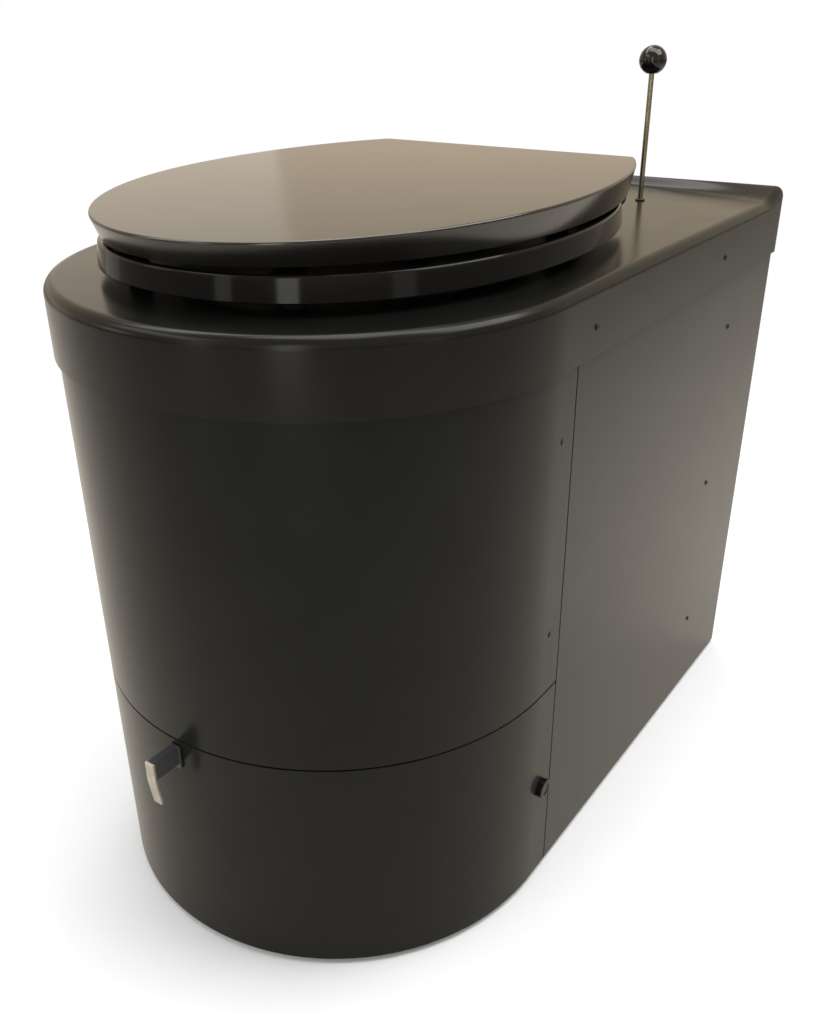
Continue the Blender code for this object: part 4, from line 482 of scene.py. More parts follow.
class Shell:
    """Grids of points gathered into one mesh."""

    def __init__(self) -> None:
        """Start with no points."""
        self.points: list[Array] = []
        self.faces: list[list[int]] = []
        self.count = 0

    def grid(self, points: Array, wrap_rows: bool = False, caps: bool = False) -> "Shell":
        """Add a grid of quads whose last column joins the first.

        Args:
            points: Array (rows, columns, 3).
            wrap_rows: Whether the last row joins the first.
            caps: Whether the first and last rows are closed by a face.
        Returns:
            The shell itself.
        """
        rows, cols, _ = points.shape
        row = np.arange(rows if wrap_rows else rows - 1)[:, None]
        col = np.arange(cols)[None]
        next_row = (row + 1) % rows * cols
        next_col = (col + 1) % cols
        quads = np.stack(np.broadcast_arrays(row * cols + col, row * cols + next_col,
                                             next_row + next_col, next_row + col), axis=-1)
        self.faces += (quads.reshape(-1, 4) + self.count).tolist()
        if caps:
            self.faces.append((self.count + np.arange(cols))[::-1].tolist())
            self.faces.append((self.count + (rows - 1) * cols + np.arange(cols)).tolist())
        self.points.append(points.reshape(-1, 3))
        self.count += rows * cols
        return self

    def loft(self, keys: Array, radii: Sizes, steps: int = 6, closed: bool = True) -> "Shell":
        """Add rings (n, columns, 3) whose path from ring to ring has rounded corners."""
        return self.grid(rounded(keys, radii, steps, closed), wrap_rows=closed)

    def bar(self, loop: Array, low: float, high: float, edge: float = 0.0, axis: str = "z") -> "Shell":
        """Add a solid extruded from a flat loop."""
        return self.grid(extruded(loop, low, high, edge, axis), caps=True)

    def lathe(self, profile: Array, centre: Place, axis: str = "z", steps: int = 64) -> "Shell":
        """Add a solid of revolution; a profile that stays off the axis is closed on itself."""
        return self.grid(turned(profile, centre, axis, steps), wrap_rows=bool(profile[0, 0] > 0))

    def mesh(self, name: str) -> bpy.types.Mesh:
        """Make the mesh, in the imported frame.

        Args:
            name: The mesh's name.
        Returns:
            The mesh with its doubles merged and its faces pointing out.
        """
        made = bpy.data.meshes.new(name)
        points = np.concatenate(self.points) - np.array([0, MIDDLE, 0])
        made.from_pydata(points, [], self.faces)
        bm = bmesh.new()
        bm.from_mesh(made)
        bmesh.ops.remove_doubles(bm, verts=bm.verts, dist=WELD)
        bmesh.ops.recalc_face_normals(bm, faces=bm.faces)
        bm.to_mesh(made)
        bm.free()
        return made


def linked(thing: bpy.types.Object) -> bpy.types.Object:
    """Put an object into the scene."""
    bpy.context.scene.collection.objects.link(thing)
    return thing


def carve(mesh: bpy.types.Mesh, tools: list[Shell]) -> bpy.types.Mesh:
    """Cut other solids from a mesh with exact Booleans.

    Args:
        mesh: The solid.
        tools: The solids to take away.
    Returns:
        The mesh that is left.
    """
    body = linked(bpy.data.objects.new("body", mesh))
    used = [body]
    for shell in tools:
        tool = linked(bpy.data.objects.new("tool", shell.mesh("tool")))
        step = body.modifiers.new("cut", "BOOLEAN")
        step.object = tool
        step.solver = "EXACT"
        used.append(tool)
    shaped = body.evaluated_get(bpy.context.evaluated_depsgraph_get())
    result = bpy.data.meshes.new_from_object(shaped)
    for thing in used:
        bpy.data.objects.remove(thing)
    return result


@dataclass
class Workshop:
    """The materials made so far, and the way a finished piece joins the scene."""

    materials: dict[str, bpy.types.Material] = field(default_factory=dict)
    made: int = 0

    def finish(self, finish: Finish) -> bpy.types.Material:
        """The material of a finish, made once.

        Args:
            finish: The finish.
        Returns:
            Its material.
        """
        if finish.name not in self.materials:
            self.materials[finish.name] = finish.build()
        return self.materials[finish.name]

    def place(self, name: str, mesh: bpy.types.Mesh, finish: Finish, node: str,
              body: Body) -> bpy.types.Object:
        """Put a finished mesh into the scene.

        Args:
            name: The piece's name.
            mesh: Its mesh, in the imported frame.
            finish: What it is made of.
            node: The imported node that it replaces, if any.
            body: The body that it rides on.
        Returns:
            The piece.
        """
        mesh.materials.clear()
        mesh.materials.append(self.finish(finish))
        mesh.shade_smooth()
        mesh.set_sharp_from_angle(angle=math.radians(SMOOTH_DEGREES))
        piece = linked(bpy.data.objects.new(name, mesh))
        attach(piece, body.value)
        if node:
            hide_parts(node)
        self.made += 1
        log.info("%s: %d faces, %s, rides on %s", name, len(mesh.polygons), finish.name, body.value)
        return piece

    def flatten(self, piece: bpy.types.Object) -> None:
        """Weigh a piece's normals by area, so that a rounded edge doesn't shade the face beside it.

        Args:
            piece: The piece.
        """
        weigh = piece.modifiers.new("weigh", "WEIGHTED_NORMAL")
        weigh.mode = "FACE_AREA"
        weigh.keep_sharp = True

    def make(self, name: str, shell: Shell, finish: Finish, node: str = "", body: Body = Body.HOUSING,
             tools: list[Shell] | None = None) -> None:
        """Turn a shell into a piece, with other solids cut from it where there are any."""
        mesh = shell.mesh(name)
        self.flatten(self.place(name, carve(mesh, tools) if tools else mesh, finish, node, body))

    def dress(self, node: str, finish: Finish) -> None:
        """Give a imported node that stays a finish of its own.

        Args:
            node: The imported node.
            finish: What it is made of.
        """
        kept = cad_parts[node]
        kept.data.materials.clear()
        kept.data.materials.append(self.finish(finish))
        log.info("%s: kept, %s", node, finish.name)

    def soften(self, node: str, finish: Finish, body: Body = Body.HOUSING, width: float = BEVEL) -> None:
        """Stand in for a folded or moulded node with a copy whose edges carry a live bevel.

        Args:
            node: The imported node.
            finish: What it is made of.
            body: The body that it rides on.
            width: Width of the bevel.
        """
        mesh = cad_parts[node].data.copy()
        bm = bmesh.new()
        bm.from_mesh(mesh)
        bmesh.ops.remove_doubles(bm, verts=bm.verts, dist=WELD)
        bmesh.ops.dissolve_limit(bm, angle_limit=math.radians(FLAT_DEGREES), verts=bm.verts,
                                 edges=bm.edges)
        bm.to_mesh(mesh)
        bm.free()
        piece = self.place(node + "_bevelled", mesh, finish, node, body)
        bevel = piece.modifiers.new("bevel", "BEVEL")
        bevel.width = width
        bevel.segments = 2
        bevel.limit_method = "ANGLE"
        bevel.angle_limit = math.radians(SMOOTH_DEGREES)
        self.flatten(piece)


# Housing

@dataclass
class Housing:
    """The deck cover, the half-round wrap, the flat sides and what they stand on.

    The opening's values are its half width and its reach to the front and to the rear; the
    knob's are its depth and height. The plan's counts are its points along a quarter of the
    front, a side, a rear corner and half the back, the deck's are its rows on the shoulder, the
    rim and the flat, and the wrap's are its points round the front and along an end.
    """

    shop: Workshop
    half_width: float = 0.195
    rear: float = 0.443
    foot_height: float = 0.005
    foot_radii: Pair = (0.010, 0.012)
    foot_edges: Pair = (0.0008, 0.0004)
    sheet: float = 0.0015
    seam: float = 0.0012
    seam_depth: float = 0.025
    door_top: float = 0.1935
    edge: float = 0.0004
    deck: float = 0.506
    deck_wall: float = 0.0025
    overhang: float = 0.003
    skirt: float = 0.051
    shoulder: float = 0.008
    corner: float = 0.006
    lip_rise: float = 0.010
    lip_depth: float = 0.016
    lip_sweep: float = 0.031
    opening: Place = (0.116, 0.118, 0.150)
    opening_centre: float = 0.020
    panel_top: float = 0.5027
    rear_flange: float = 0.014
    flange_gap: float = 0.0006
    flange_reach: float = 0.005
    stud_slot: float = 0.0028
    knob: Pair = (0.009, 0.0978)
    plan_counts: Counts = (96, 60, 9, 40)
    deck_counts: Counts = (10, 30, 8)
    wrap_counts: Counts = (241, 5)

    def plan(self, offset: float) -> Array:
        """The D-shaped plan of the housing.

        A half circle at the front, straight sides, and rear corners of the corner radius, all
        moved out by the offset.

        Args:
            offset: How far outside the housing the plan lies.
        Returns:
            Points (n, 2), anticlockwise from the middle of the front.
        """
        wide = self.half_width + offset
        bend = max(self.corner + offset, self.edge)
        back = self.rear + offset
        round_count, side_count, corner_count, back_count = self.plan_counts
        turn = np.linspace(0, QUARTER, round_count)
        front = pairs(wide * np.sin(turn), -wide * np.cos(turn))
        straight = pairs(wide, np.linspace(0, 1, side_count)[1:-1] * (back - bend))
        turn = np.linspace(0, QUARTER, corner_count)
        corner = pairs(wide - bend * (1 - np.cos(turn)), back - bend * (1 - np.sin(turn)))
        rear = pairs(np.linspace(1, 0, back_count)[1:] * (wide - bend), back)
        return whole(np.concatenate([front, straight, corner, rear]))

    def lip(self, x: Array, y: Array) -> Array:
        """Rise of the deck towards its back edge.

        Args:
            x: Places across.
            y: Places in depth.
        Returns:
            The rise times the smooth step of the way from the lip's foot, which comes forward
            with the square of x, to the back edge.
        """
        back = self.rear + self.overhang
        start = back - self.lip_depth - self.lip_sweep * (x / self.half_width) ** 2
        return self.lip_rise * smooth_step((y - start) / (back - start))

    def opening_loop(self, outer: Array, grow: float = 0.0) -> Array:
        """The edge of the seat opening, grown, point for point with an outer loop."""
        size = tuple(length + grow for length in self.opening)
        return facing_oval(outer, self.opening_centre, size)

    def deck_rows(self, offset: float, top: float, radius: float) -> Array:
        """Rows of one face of the deck, from the skirt's lower edge to the seat opening.

        Args:
            offset: How far outside the housing the skirt stands.
            top: Height of the flat.
            radius: Radius of the shoulder.
        Returns:
            Array (rows, n, 3); the lip is added in the share of the skirt that lies below it.
        """
        bottom = self.deck - self.skirt
        rows = [lifted(self.plan(offset), bottom)]
        shoulder_count, rim_count, flat_count = self.deck_counts
        for turn in np.linspace(0, QUARTER, shoulder_count):
            rows.append(lifted(self.plan(offset - radius * (1 - math.cos(turn))),
                               top - radius * (1 - math.sin(turn))))
        for inset in np.linspace(0, self.lip_depth + self.lip_sweep, rim_count)[1:]:
            rows.append(lifted(self.plan(offset - radius - inset), top))
        last = rows[-1][:, :2]
        inner = self.opening_loop(last)
        for share in np.linspace(0, 1, flat_count)[1:]:
            rows.append(lifted(last + (inner - last) * share, top))
        grid = np.stack(rows)
        weight = np.clip((grid[..., 2] - bottom) / (top - bottom), 0, 1)
        grid[..., 2] += weight * self.lip(grid[..., 0], grid[..., 1])
        return grid

    def build_deck(self) -> None:
        """The pressed cover: flat, with a rounded shoulder, a skirt and a raised back lip."""
        outside = self.deck_rows(self.overhang, self.deck, self.shoulder)
        inside = self.deck_rows(self.overhang - self.deck_wall, self.deck - self.deck_wall,
                                self.shoulder - self.deck_wall)
        shell = Shell().grid(np.concatenate([outside, inside[::-1]]), wrap_rows=True)
        self.shop.make("deck_cover_pressed", shell, DECK_COAT, "deck_cover")

    def wrap(self, low: float, high: float) -> Shell:
        """A half-round sheet with straight ends, carried along the front's plan.

        The section is a rectangle of the sheet's thickness with rounded edges; each of its
        points keeps its distance from the plan line and its height.

        Args:
            low: Height of the lower edge.
            high: Height of the upper edge.
        Returns:
            The closed sheet.
        """
        round_count, end_count = self.wrap_counts
        turn = np.linspace(-QUARTER, QUARTER, round_count)
        normal = pairs(np.sin(turn), -np.cos(turn))
        ends = pairs(self.half_width, np.linspace(0, self.seam_depth - self.seam / 2, end_count)[1:])
        line = np.concatenate([(ends * MIRROR)[::-1], normal * self.half_width, ends])
        side = np.broadcast_to([1.0, 0.0], ends.shape)
        normal = np.concatenate([side * MIRROR, normal, side])
        section = rectangle((-self.sheet, low), (0.0, high), self.edge)
        flat = line[:, None] + normal[:, None] * section[None, :, :1]
        height = np.broadcast_to(section[None, :, 1:], flat.shape[:2] + (1,))
        return Shell().grid(np.concatenate([flat, height], axis=-1), caps=True)

    def build_panels(self) -> None:
        """The wrap above the drawer and the two flat sides with their flanges."""
        upper = self.wrap(self.door_top + self.seam, self.panel_top)
        self.shop.make("front_wrap_upper", upper, COAT, "front_panel")
        sheet, wide, rear = self.sheet, self.half_width, self.rear
        inner = wide - sheet
        flange_out = inner - self.flange_gap
        flange_in = flange_out - sheet
        fold = inner - self.rear_flange
        start = self.seam_depth + self.seam / 2
        plan = [(wide, start), (wide, rear), (fold, rear), (fold, rear - sheet), (inner, rear - sheet),
                (inner, start + 2 * sheet), (flange_in, start + sheet), (flange_in, -self.flange_reach),
                (flange_out, -self.flange_reach), (flange_out, start)]
        bends = (self.edge, self.corner, self.edge, self.edge, self.corner - sheet) + (self.edge,) * 5
        loop = rounded(plan, bends)
        depth, height = self.knob
        room = self.stud_slot
        slot = rectangle((-wide, height - room), (depth + room, height + room), room - self.edge)
        for side in Side:
            mirrored = loop if side is Side.RIGHT else (loop * MIRROR)[::-1]
            low, high = side.span(flange_in - sheet, flange_out + self.edge)
            panel = Shell().bar(mirrored, self.foot_height, self.panel_top, self.edge)
            self.shop.make("side_panel_folded_" + side.word, panel, COAT, "side_panel_" + side.word,
                           tools=[Shell().bar(slot, low, high, axis="x")])

    def build_base(self) -> None:
        """The four rubber feet and the folded steel inside."""
        sole, top = self.foot_radii
        for word in ("front_right", "front_left", "rear_right", "rear_left"):
            node = "foot_" + word
            low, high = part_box(node)
            centre = ((low.x + high.x) / 2, (low.y + high.y) / 2 + MIDDLE, 0.0)
            foot = Shell().lathe(plug(0, high.z, sole, self.foot_edges, top), centre, steps=40)
            self.shop.make(node + "_moulded", foot, RUBBER, node)
        for node in ("base_tray", "bulkhead", "chamber_shelf", "drawer_rail_right", "drawer_rail_left"):
            self.shop.soften(node, ZINC)
        self.shop.soften("back_panel", COAT)

    def build(self) -> None:
        """Build the whole housing."""
        self.build_deck()
        self.build_panels()
        self.build_base()


# Seat and lid

@dataclass
class SeatAndLid:
    """The seat ring and the lid, on two posts.

    The sizes of a plan are its half width, its reach to the front, the depth of its widest
    place, the reach of its rear oval and the depth of its back; its counts are its points on the
    front quarter, the rear quarter and half the back. The lid's heights are its front and rear.
    The seat arm's values are its overlap with the ring and its clearance below and above. A
    post's foot and stud are a radius and a length, a buffer's place is across and in depth.
    """

    shop: Workshop
    housing: Housing
    seat_lift: float = 0.008
    seat_thickness: float = 0.017
    seat_size: Sizes = (0.167, 0.158, 0.062, 0.250, 0.212)
    seat_bluntness: float = 1.1
    seat_taper: float = 0.002
    seat_rim: float = 0.046
    seat_edges: Sizes = (0.0010, 0.0026, 0, 0.0065, 0.0012)
    seat_arm: Place = (0.015, 0.0015, 0.003)
    lid_lift: float = 0.004
    lid_size: Sizes = (0.173, 0.1685, 0.0605, 0.2746, 0.2495)
    lid_heights: Pair = (0.015, 0.0228)
    lid_crown: float = 0.0015
    lid_wall: float = 0.0035
    lid_edge: float = 0.0015
    lid_rims: Place = (0.0010, 0.0010, 0.0015)
    lid_inside_share: float = 0.8
    disc_shares: Sizes = (0.0, 0.2, 0.4, 0.6, 0.8, 0.93)
    side_tuck: float = 0.0065
    front_tuck: float = 0.006
    hinge_depth: float = 0.235
    hinge_rise: float = 0.022
    hinge_spread: float = 0.0775
    pin: float = 0.004
    pin_play: float = 0.0004
    pin_bite: float = 0.0005
    pin_edge: float = 0.0006
    knuckle: float = 0.0075
    knuckle_width: float = 0.012
    knuckle_gap: float = 0.0006
    knuckle_edges: Pair = (0.0003, 0.0008)
    barrel: float = 0.0064
    barrel_end: float = 0.1255
    notch_rise: float = 0.012
    notch_corner: float = 0.0004
    overrun: float = 0.004
    web_sink: float = 0.002
    web_edges: Pair = (0.0008, 0.0006)
    post_foot: Pair = (0.013, 0.004)
    post_edges: Pair = (0.0004, 0.0015)
    neck_edges: Pair = (0.0004, 0.0006)
    stud: Pair = (0.003, 0.012)
    stud_edge: float = 0.0005
    buffer: float = 0.008
    buffer_edges: Pair = (0.0006, 0.001)
    buffers: tuple[Pair, ...] = ((0.070, -0.115), (0.135, 0.100))
    plan_counts: Counts = (321, 201, 121)

    def __post_init__(self) -> None:
        """Work out the levels that the sizes give."""
        self.deck = self.housing.deck
        self.seat_bottom = self.deck + self.seat_lift
        self.seat_top = self.seat_bottom + self.seat_thickness
        self.lid_bottom = self.seat_top + self.lid_lift
        self.axis = self.deck + self.hinge_rise

    def egg(self, size: Sizes, grow: float = 0.0, bluntness: float = 1.0, tuck: float = 0.0,
            front_tuck: float = 0.0, blur: int = 2) -> Array:
        """The plan of the seat or lid.

        The front half is an oval whose coordinates are sine and cosine to the power 1 over the
        bluntness. The rear half is an oval cut off by a straight back, and its corners are
        blurred round.

        Args:
            size: The sizes of the plan.
            grow: How far the plan is grown.
            bluntness: Fills out the front corners when above 1.
            tuck: How far the sides and back are drawn in.
            front_tuck: How far the front is drawn in.
            blur: Roundness of the corners, in points of about 1 mm.
        Returns:
            Points (n, 2), anticlockwise from the middle of the front.
        """
        half_width, front, widest, tail, back = size
        wide, end = half_width + grow - tuck, back + grow - tuck
        reach = front + grow + widest - front_tuck
        front_count, rear_count, back_count = self.plan_counts
        turn = np.linspace(0, QUARTER, front_count)
        ahead = np.clip(np.cos(turn), 0, 1) ** (1 / bluntness)
        oval = pairs(wide * np.sin(turn) ** (1 / bluntness), widest - reach * ahead)
        last = math.asin(min((end - widest) / (tail + grow), 1.0))
        turn = np.linspace(0, last, rear_count)[1:]
        rear = pairs(wide * np.cos(turn), widest + (tail + grow) * np.sin(turn))
        straight = pairs(np.linspace(rear[-1, 0], 0, back_count)[1:], end)
        return smoothed(whole(np.concatenate([oval, rear, straight])), blur)[::2]

    def lid_top(self, y: float | Array) -> float | Array:
        """Height of the lid's upper face: a straight rise towards the hinge and a low parabola.

        Args:
            y: Places in depth.
        Returns:
            The height at each place.
        """
        _, front, _, _, back = self.lid_size
        low, high = self.lid_heights
        share = (y + front) / (front + back)
        return self.lid_bottom + low + (high - low) * share + self.lid_crown * 4 * share * (1 - share)

    def lid_ring(self, grow: float, share: float, drop: float | None) -> Array:
        """A ring of the lid's wall, whose sides and front tuck in on the way down.

        Args:
            grow: How far the lid's plan is grown.
            share: The share of the way down.
            drop: How far the ring lies below the upper face; none means the lower edge.
        Returns:
            Points (n, 3).
        """
        loop = self.egg(self.lid_size, grow, tuck=self.side_tuck * share,
                        front_tuck=self.front_tuck * share)
        return lifted(loop, self.lid_bottom if drop is None else self.lid_top(loop[:, 1]) - drop)

    def disc(self, ring: Array, drop: float) -> Array:
        """Rings that shrink a ring to the lid's middle.

        Args:
            ring: The outermost ring (n, 3).
            drop: How far they lie below the upper face.
        Returns:
            A grid (shares, n, 3), from the middle outwards.
        """
        middle = np.array([0.0, self.lid_size[2]])
        loops = [middle + (ring[:, :2] - middle) * share for share in self.disc_shares]
        return np.stack([lifted(loop, self.lid_top(loop[:, 1]) - drop) for loop in loops])

    def add_knuckle(self, shell: Shell, low: float, high: float, bore: float) -> None:
        """Add a hinge knuckle with broken edges, from one place across to another.

        Args:
            shell: What it joins.
            low: Where it starts.
            high: Where it ends.
            bore: Radius of its bore.
        """
        inner, outer = self.knuckle_edges
        corners = [(bore, 0), (self.knuckle, 0), (self.knuckle, high - low), (bore, high - low)]
        ring = rounded(corners, (inner, outer, outer, inner), steps=3)
        shell.lathe(ring, (low, self.hinge_depth, self.axis), "x")

    def build_lid(self) -> None:
        """The lid: a flat-topped shell whose wall tucks in, and the arms and rests under it."""
        top = self.lid_ring(0.0, 0.0, 0.0)
        inner = self.lid_ring(-self.lid_wall - self.lid_edge, self.lid_inside_share, self.lid_wall)
        keys = np.concatenate([
            self.disc(top, 0.0), top[None], self.lid_ring(0.0, 1.0, None)[None],
            self.lid_ring(-self.lid_wall, 1.0, None)[None], inner[None],
            self.disc(inner, self.lid_wall)[::-1]])
        flat = (0,) * len(self.disc_shares)
        edges = flat + (self.lid_edge, *self.lid_rims) + flat
        shell = Shell().loft(keys, edges, steps=7, closed=False)
        room = (self.knuckle_width + self.knuckle_gap) / 2
        tools = []
        for side in Side:
            low, high = side.span(self.hinge_spread - room, self.hinge_spread + room)
            notch = rectangle((low, self.hinge_depth), (high, self.lid_size[4] + self.overrun),
                              self.notch_corner)
            tools.append(Shell().bar(notch, self.lid_bottom - self.overrun, self.axis + self.notch_rise))
        self.shop.make("lid_shell", shell, LID_GLOSS, "lid", Body.LID, tools)
        self.build_arms()

    def build_arms(self) -> None:
        """The lid's two arms with their knuckles, and the rests that it lies on."""
        arms = Shell()
        y, z = self.hinge_depth, self.axis
        near = self.hinge_spread - self.knuckle_width / 2 - self.knuckle_gap
        corner, edge = self.web_edges
        for side in Side:
            low, high = side.span(near - self.knuckle_width, near)
            web = rectangle((y - self.knuckle, z), (y + self.knuckle, self.lid_top(y) - self.web_sink),
                            corner)
            arms.bar(web, low, high, edge, "x")
            self.add_knuckle(arms, low, high, self.pin + self.pin_play)
            for x, depth in self.buffers:
                rest = plug(self.seat_top + GAP, self.lid_top(depth) - self.lid_wall / 2, self.buffer,
                            (self.buffer_edges[1], 0))
                arms.lathe(rest, (side.value * x, depth, 0.0), steps=40)
        self.shop.make("lid_arms_and_rests", arms, GLOSS, body=Body.LID)

    def build_seat(self) -> None:
        """The seat: a ring with a leaning wall, a rounded upper edge and a deeper inner round."""
        half_width, front, widest, _, back = self.seat_size
        outline = self.egg(self.seat_size, bluntness=self.seat_bluntness)
        inside = facing_oval(outline, widest, (half_width, front + widest, back - widest), self.seat_rim)
        foot = self.egg(self.seat_size, self.seat_taper, self.seat_bluntness)
        low, high = self.seat_bottom, self.seat_top
        keys = np.stack([lifted(foot, low), lifted(outline, high), lifted((outline + inside) / 2, high),
                         lifted(inside, high), lifted(inside, low)])
        shell = Shell().loft(keys, self.seat_edges, steps=8)
        y, z = self.hinge_depth, self.axis
        corner, edge = self.web_edges
        rim = self.knuckle_edges[1]
        overlap, rise, drop = self.seat_arm
        near = self.hinge_spread + self.knuckle_width / 2 + self.knuckle_gap
        for side in Side:
            left, right = side.span(near, near + self.knuckle_width)
            arm = rectangle((back - overlap, low + rise), (y, high - drop), corner)
            shell.bar(arm, left, right, edge, "x")
            self.add_knuckle(shell, left, right, self.pin + self.pin_play)
            left, right = side.span(near + self.knuckle_width, self.barrel_end)
            shell.lathe(plug(left, right, self.barrel, (rim, rim)), (0.0, y, z), "x", steps=48)
        self.shop.make("seat_ring_moulded", shell, GLOSS, "seat_ring")

    def build_posts(self) -> None:
        """The hinge posts with their pins, and the buffers under the seat."""
        y, z = self.hinge_depth, self.axis
        foot_radius, foot_height = self.post_foot
        stud_radius, stud_length = self.stud
        corner, edge = self.neck_edges
        base = self.deck + GAP
        half = self.knuckle_width / 2
        reach = half + self.knuckle_gap + self.knuckle_width
        foot = plug(base, base + foot_height, foot_radius, self.post_edges)
        stud = plug(self.deck - stud_length, base, stud_radius, (self.stud_edge, 0))
        neck = rectangle((y - self.knuckle, base + foot_height / 2), (y + self.knuckle, z), corner)
        pin = plug(-reach, reach, self.pin, (self.pin_edge,) * 2)
        pad = plug(base, self.seat_bottom - GAP, self.buffer, self.buffer_edges,
                   self.buffer - self.buffer_edges[1])
        for side in Side:
            x = side.value * self.hinge_spread
            shell = Shell().lathe(foot, (x, y, 0.0)).lathe(stud, (x, y, 0.0), steps=32)
            shell.bar(neck, x - half, x + half, edge, "x")
            self.add_knuckle(shell, x - half, x + half, self.pin - self.pin_bite)
            shell.lathe(pin, (x, y, z), "x", steps=40)
            self.shop.make("hinge_post_moulded_" + side.word, shell, NYLON, "hinge_post_" + side.word)
            for (spread, depth), word in zip(self.buffers, ("front_", "rear_")):
                shell = Shell().lathe(pad, (side.value * spread, depth, 0.0), steps=40)
                self.shop.make("seat_buffer_moulded_" + word + side.word, shell, RUBBER,
                               "seat_buffer_" + word + side.word)

    def build(self) -> None:
        """Build the seat, the lid and their posts."""
        self.build_lid()
        self.build_seat()
        self.build_posts()


# Bowl and pull rod

@dataclass
class BowlAndRod:
    """The bowl in the deck's opening, and the pull rod with its ball.

    The outlet's values are its radius, the depth of its centre, the height of its lower edge and
    that of its throat. The bush's are the radii of its collar and neck, and its collar's height.
    The ball's counts are its points from the seat to the top and round it.
    """

    shop: Workshop
    housing: Housing
    sheet: float = 0.002
    inset: float = 0.004
    flange: float = 0.010
    outlet: Sizes = (0.058, 0.035, 0.403, 0.430)
    bowl_edges: Sizes = (0.0006, 0.004, 0.008, 0.0006, 0.0006, 0.010, 0.006, 0.0006)
    rod: float = 0.0023
    rod_place: Pair = (0.0923, 0.349)
    rod_bottom: float = 0.285
    rod_edges: Pair = (0.0006, 0.0004)
    ball: float = 0.012
    ball_height: float = 0.626
    ball_bore: float = 0.004
    bore_gap: float = 0.0001
    bush: Place = (0.0045, 0.0032, 0.0012)
    bush_depth: float = 0.004
    bush_edges: Sizes = (0.0001, 0.0003, 0, 0.0002, 0.0006, 0.0002)
    bowl_count: int = 192
    ball_counts: Counts = (44, 72)

    def build_bowl(self) -> None:
        """The bowl: it hangs by its flange, narrows like a funnel and ends in a round outlet."""
        radius, centre, low, throat = self.outlet
        turn = np.linspace(0, CIRCLE, self.bowl_count, endpoint=False)
        around = pairs(np.sin(turn), -np.cos(turn))
        outer = around + np.array([0, self.housing.opening_centre])

        def rim(grow: float, height: float) -> Array:
            """The deck's opening, grown, at a height."""
            return lifted(self.housing.opening_loop(outer, grow), height)

        def pipe(size: float, height: float) -> Array:
            """A circle about the outlet's centre, at a height."""
            return lifted(size * around + np.array([0, centre]), height)

        top = self.housing.deck + GAP
        wide = radius + self.sheet
        keys = np.stack([rim(self.flange, top), rim(-self.inset, top), pipe(wide, throat),
                         pipe(wide, low), pipe(radius, low), pipe(radius, throat),
                         rim(-self.inset - self.sheet, top + self.sheet),
                         rim(self.flange, top + self.sheet)])
        self.shop.make("bowl_spun", Shell().loft(keys, self.bowl_edges), STAINLESS, "bowl")

    def build_rod(self) -> None:
        """The drawn rod, its ball with a flat seat, and the bush it slides in."""
        x, y = self.rod_place
        top = self.ball_height - self.ball + self.ball_bore
        rod = Shell().lathe(plug(self.rod_bottom, top, self.rod, self.rod_edges), (x, y, 0.0), steps=40)
        self.shop.make("pull_rod_drawn", rod, ROD_STEEL, "pull_rod", Body.PULL)
        start = -math.acos(2 * self.rod / self.ball)
        rise_count, round_count = self.ball_counts
        turn = np.linspace(start, QUARTER, rise_count)
        arc = pairs(self.ball * np.cos(turn), self.ball * np.sin(turn))
        arc[-1, 0] = 0.0
        seat = self.ball * math.sin(start)
        bore = self.rod + self.bore_gap
        profile = np.concatenate([[(0, seat + self.ball_bore), (bore, seat + self.ball_bore),
                                   (bore, seat)], arc])
        ball = Shell().lathe(profile, (x, y, self.ball_height), steps=round_count)
        self.shop.make("ball_knob_turned", ball, PHENOLIC, "ball_knob", Body.PULL)
        outer, neck, rise = self.bush
        inner = self.rod + GAP
        section = [(inner, -self.bush_depth), (neck, -self.bush_depth), (neck, GAP), (outer, GAP),
                   (outer, GAP + rise), (inner, GAP + rise)]
        collar = rounded(section, self.bush_edges, steps=4)
        bush = Shell().lathe(collar, (x, y, self.housing.deck), steps=48)
        self.shop.make("rod_bush_moulded", bush, NYLON, "rod_bush")

    def build(self) -> None:
        """Build the bowl and the rod, and dress the gear that works the flap."""
        self.build_bowl()
        self.build_rod()
        for node in ("trap_flap", "flap_shaft", "drive_pinion"):
            self.shop.soften(node, STAINLESS, Body.TRAP, FINE_BEVEL)
        self.shop.soften("rod_rack", STAINLESS, Body.PULL, FINE_BEVEL)
        self.shop.soften("rod_guide", NYLON)
        for node in ("shaft_bracket_front", "shaft_bracket_rear"):
            self.shop.soften(node, ZINC)


# Firing chamber and exhaust

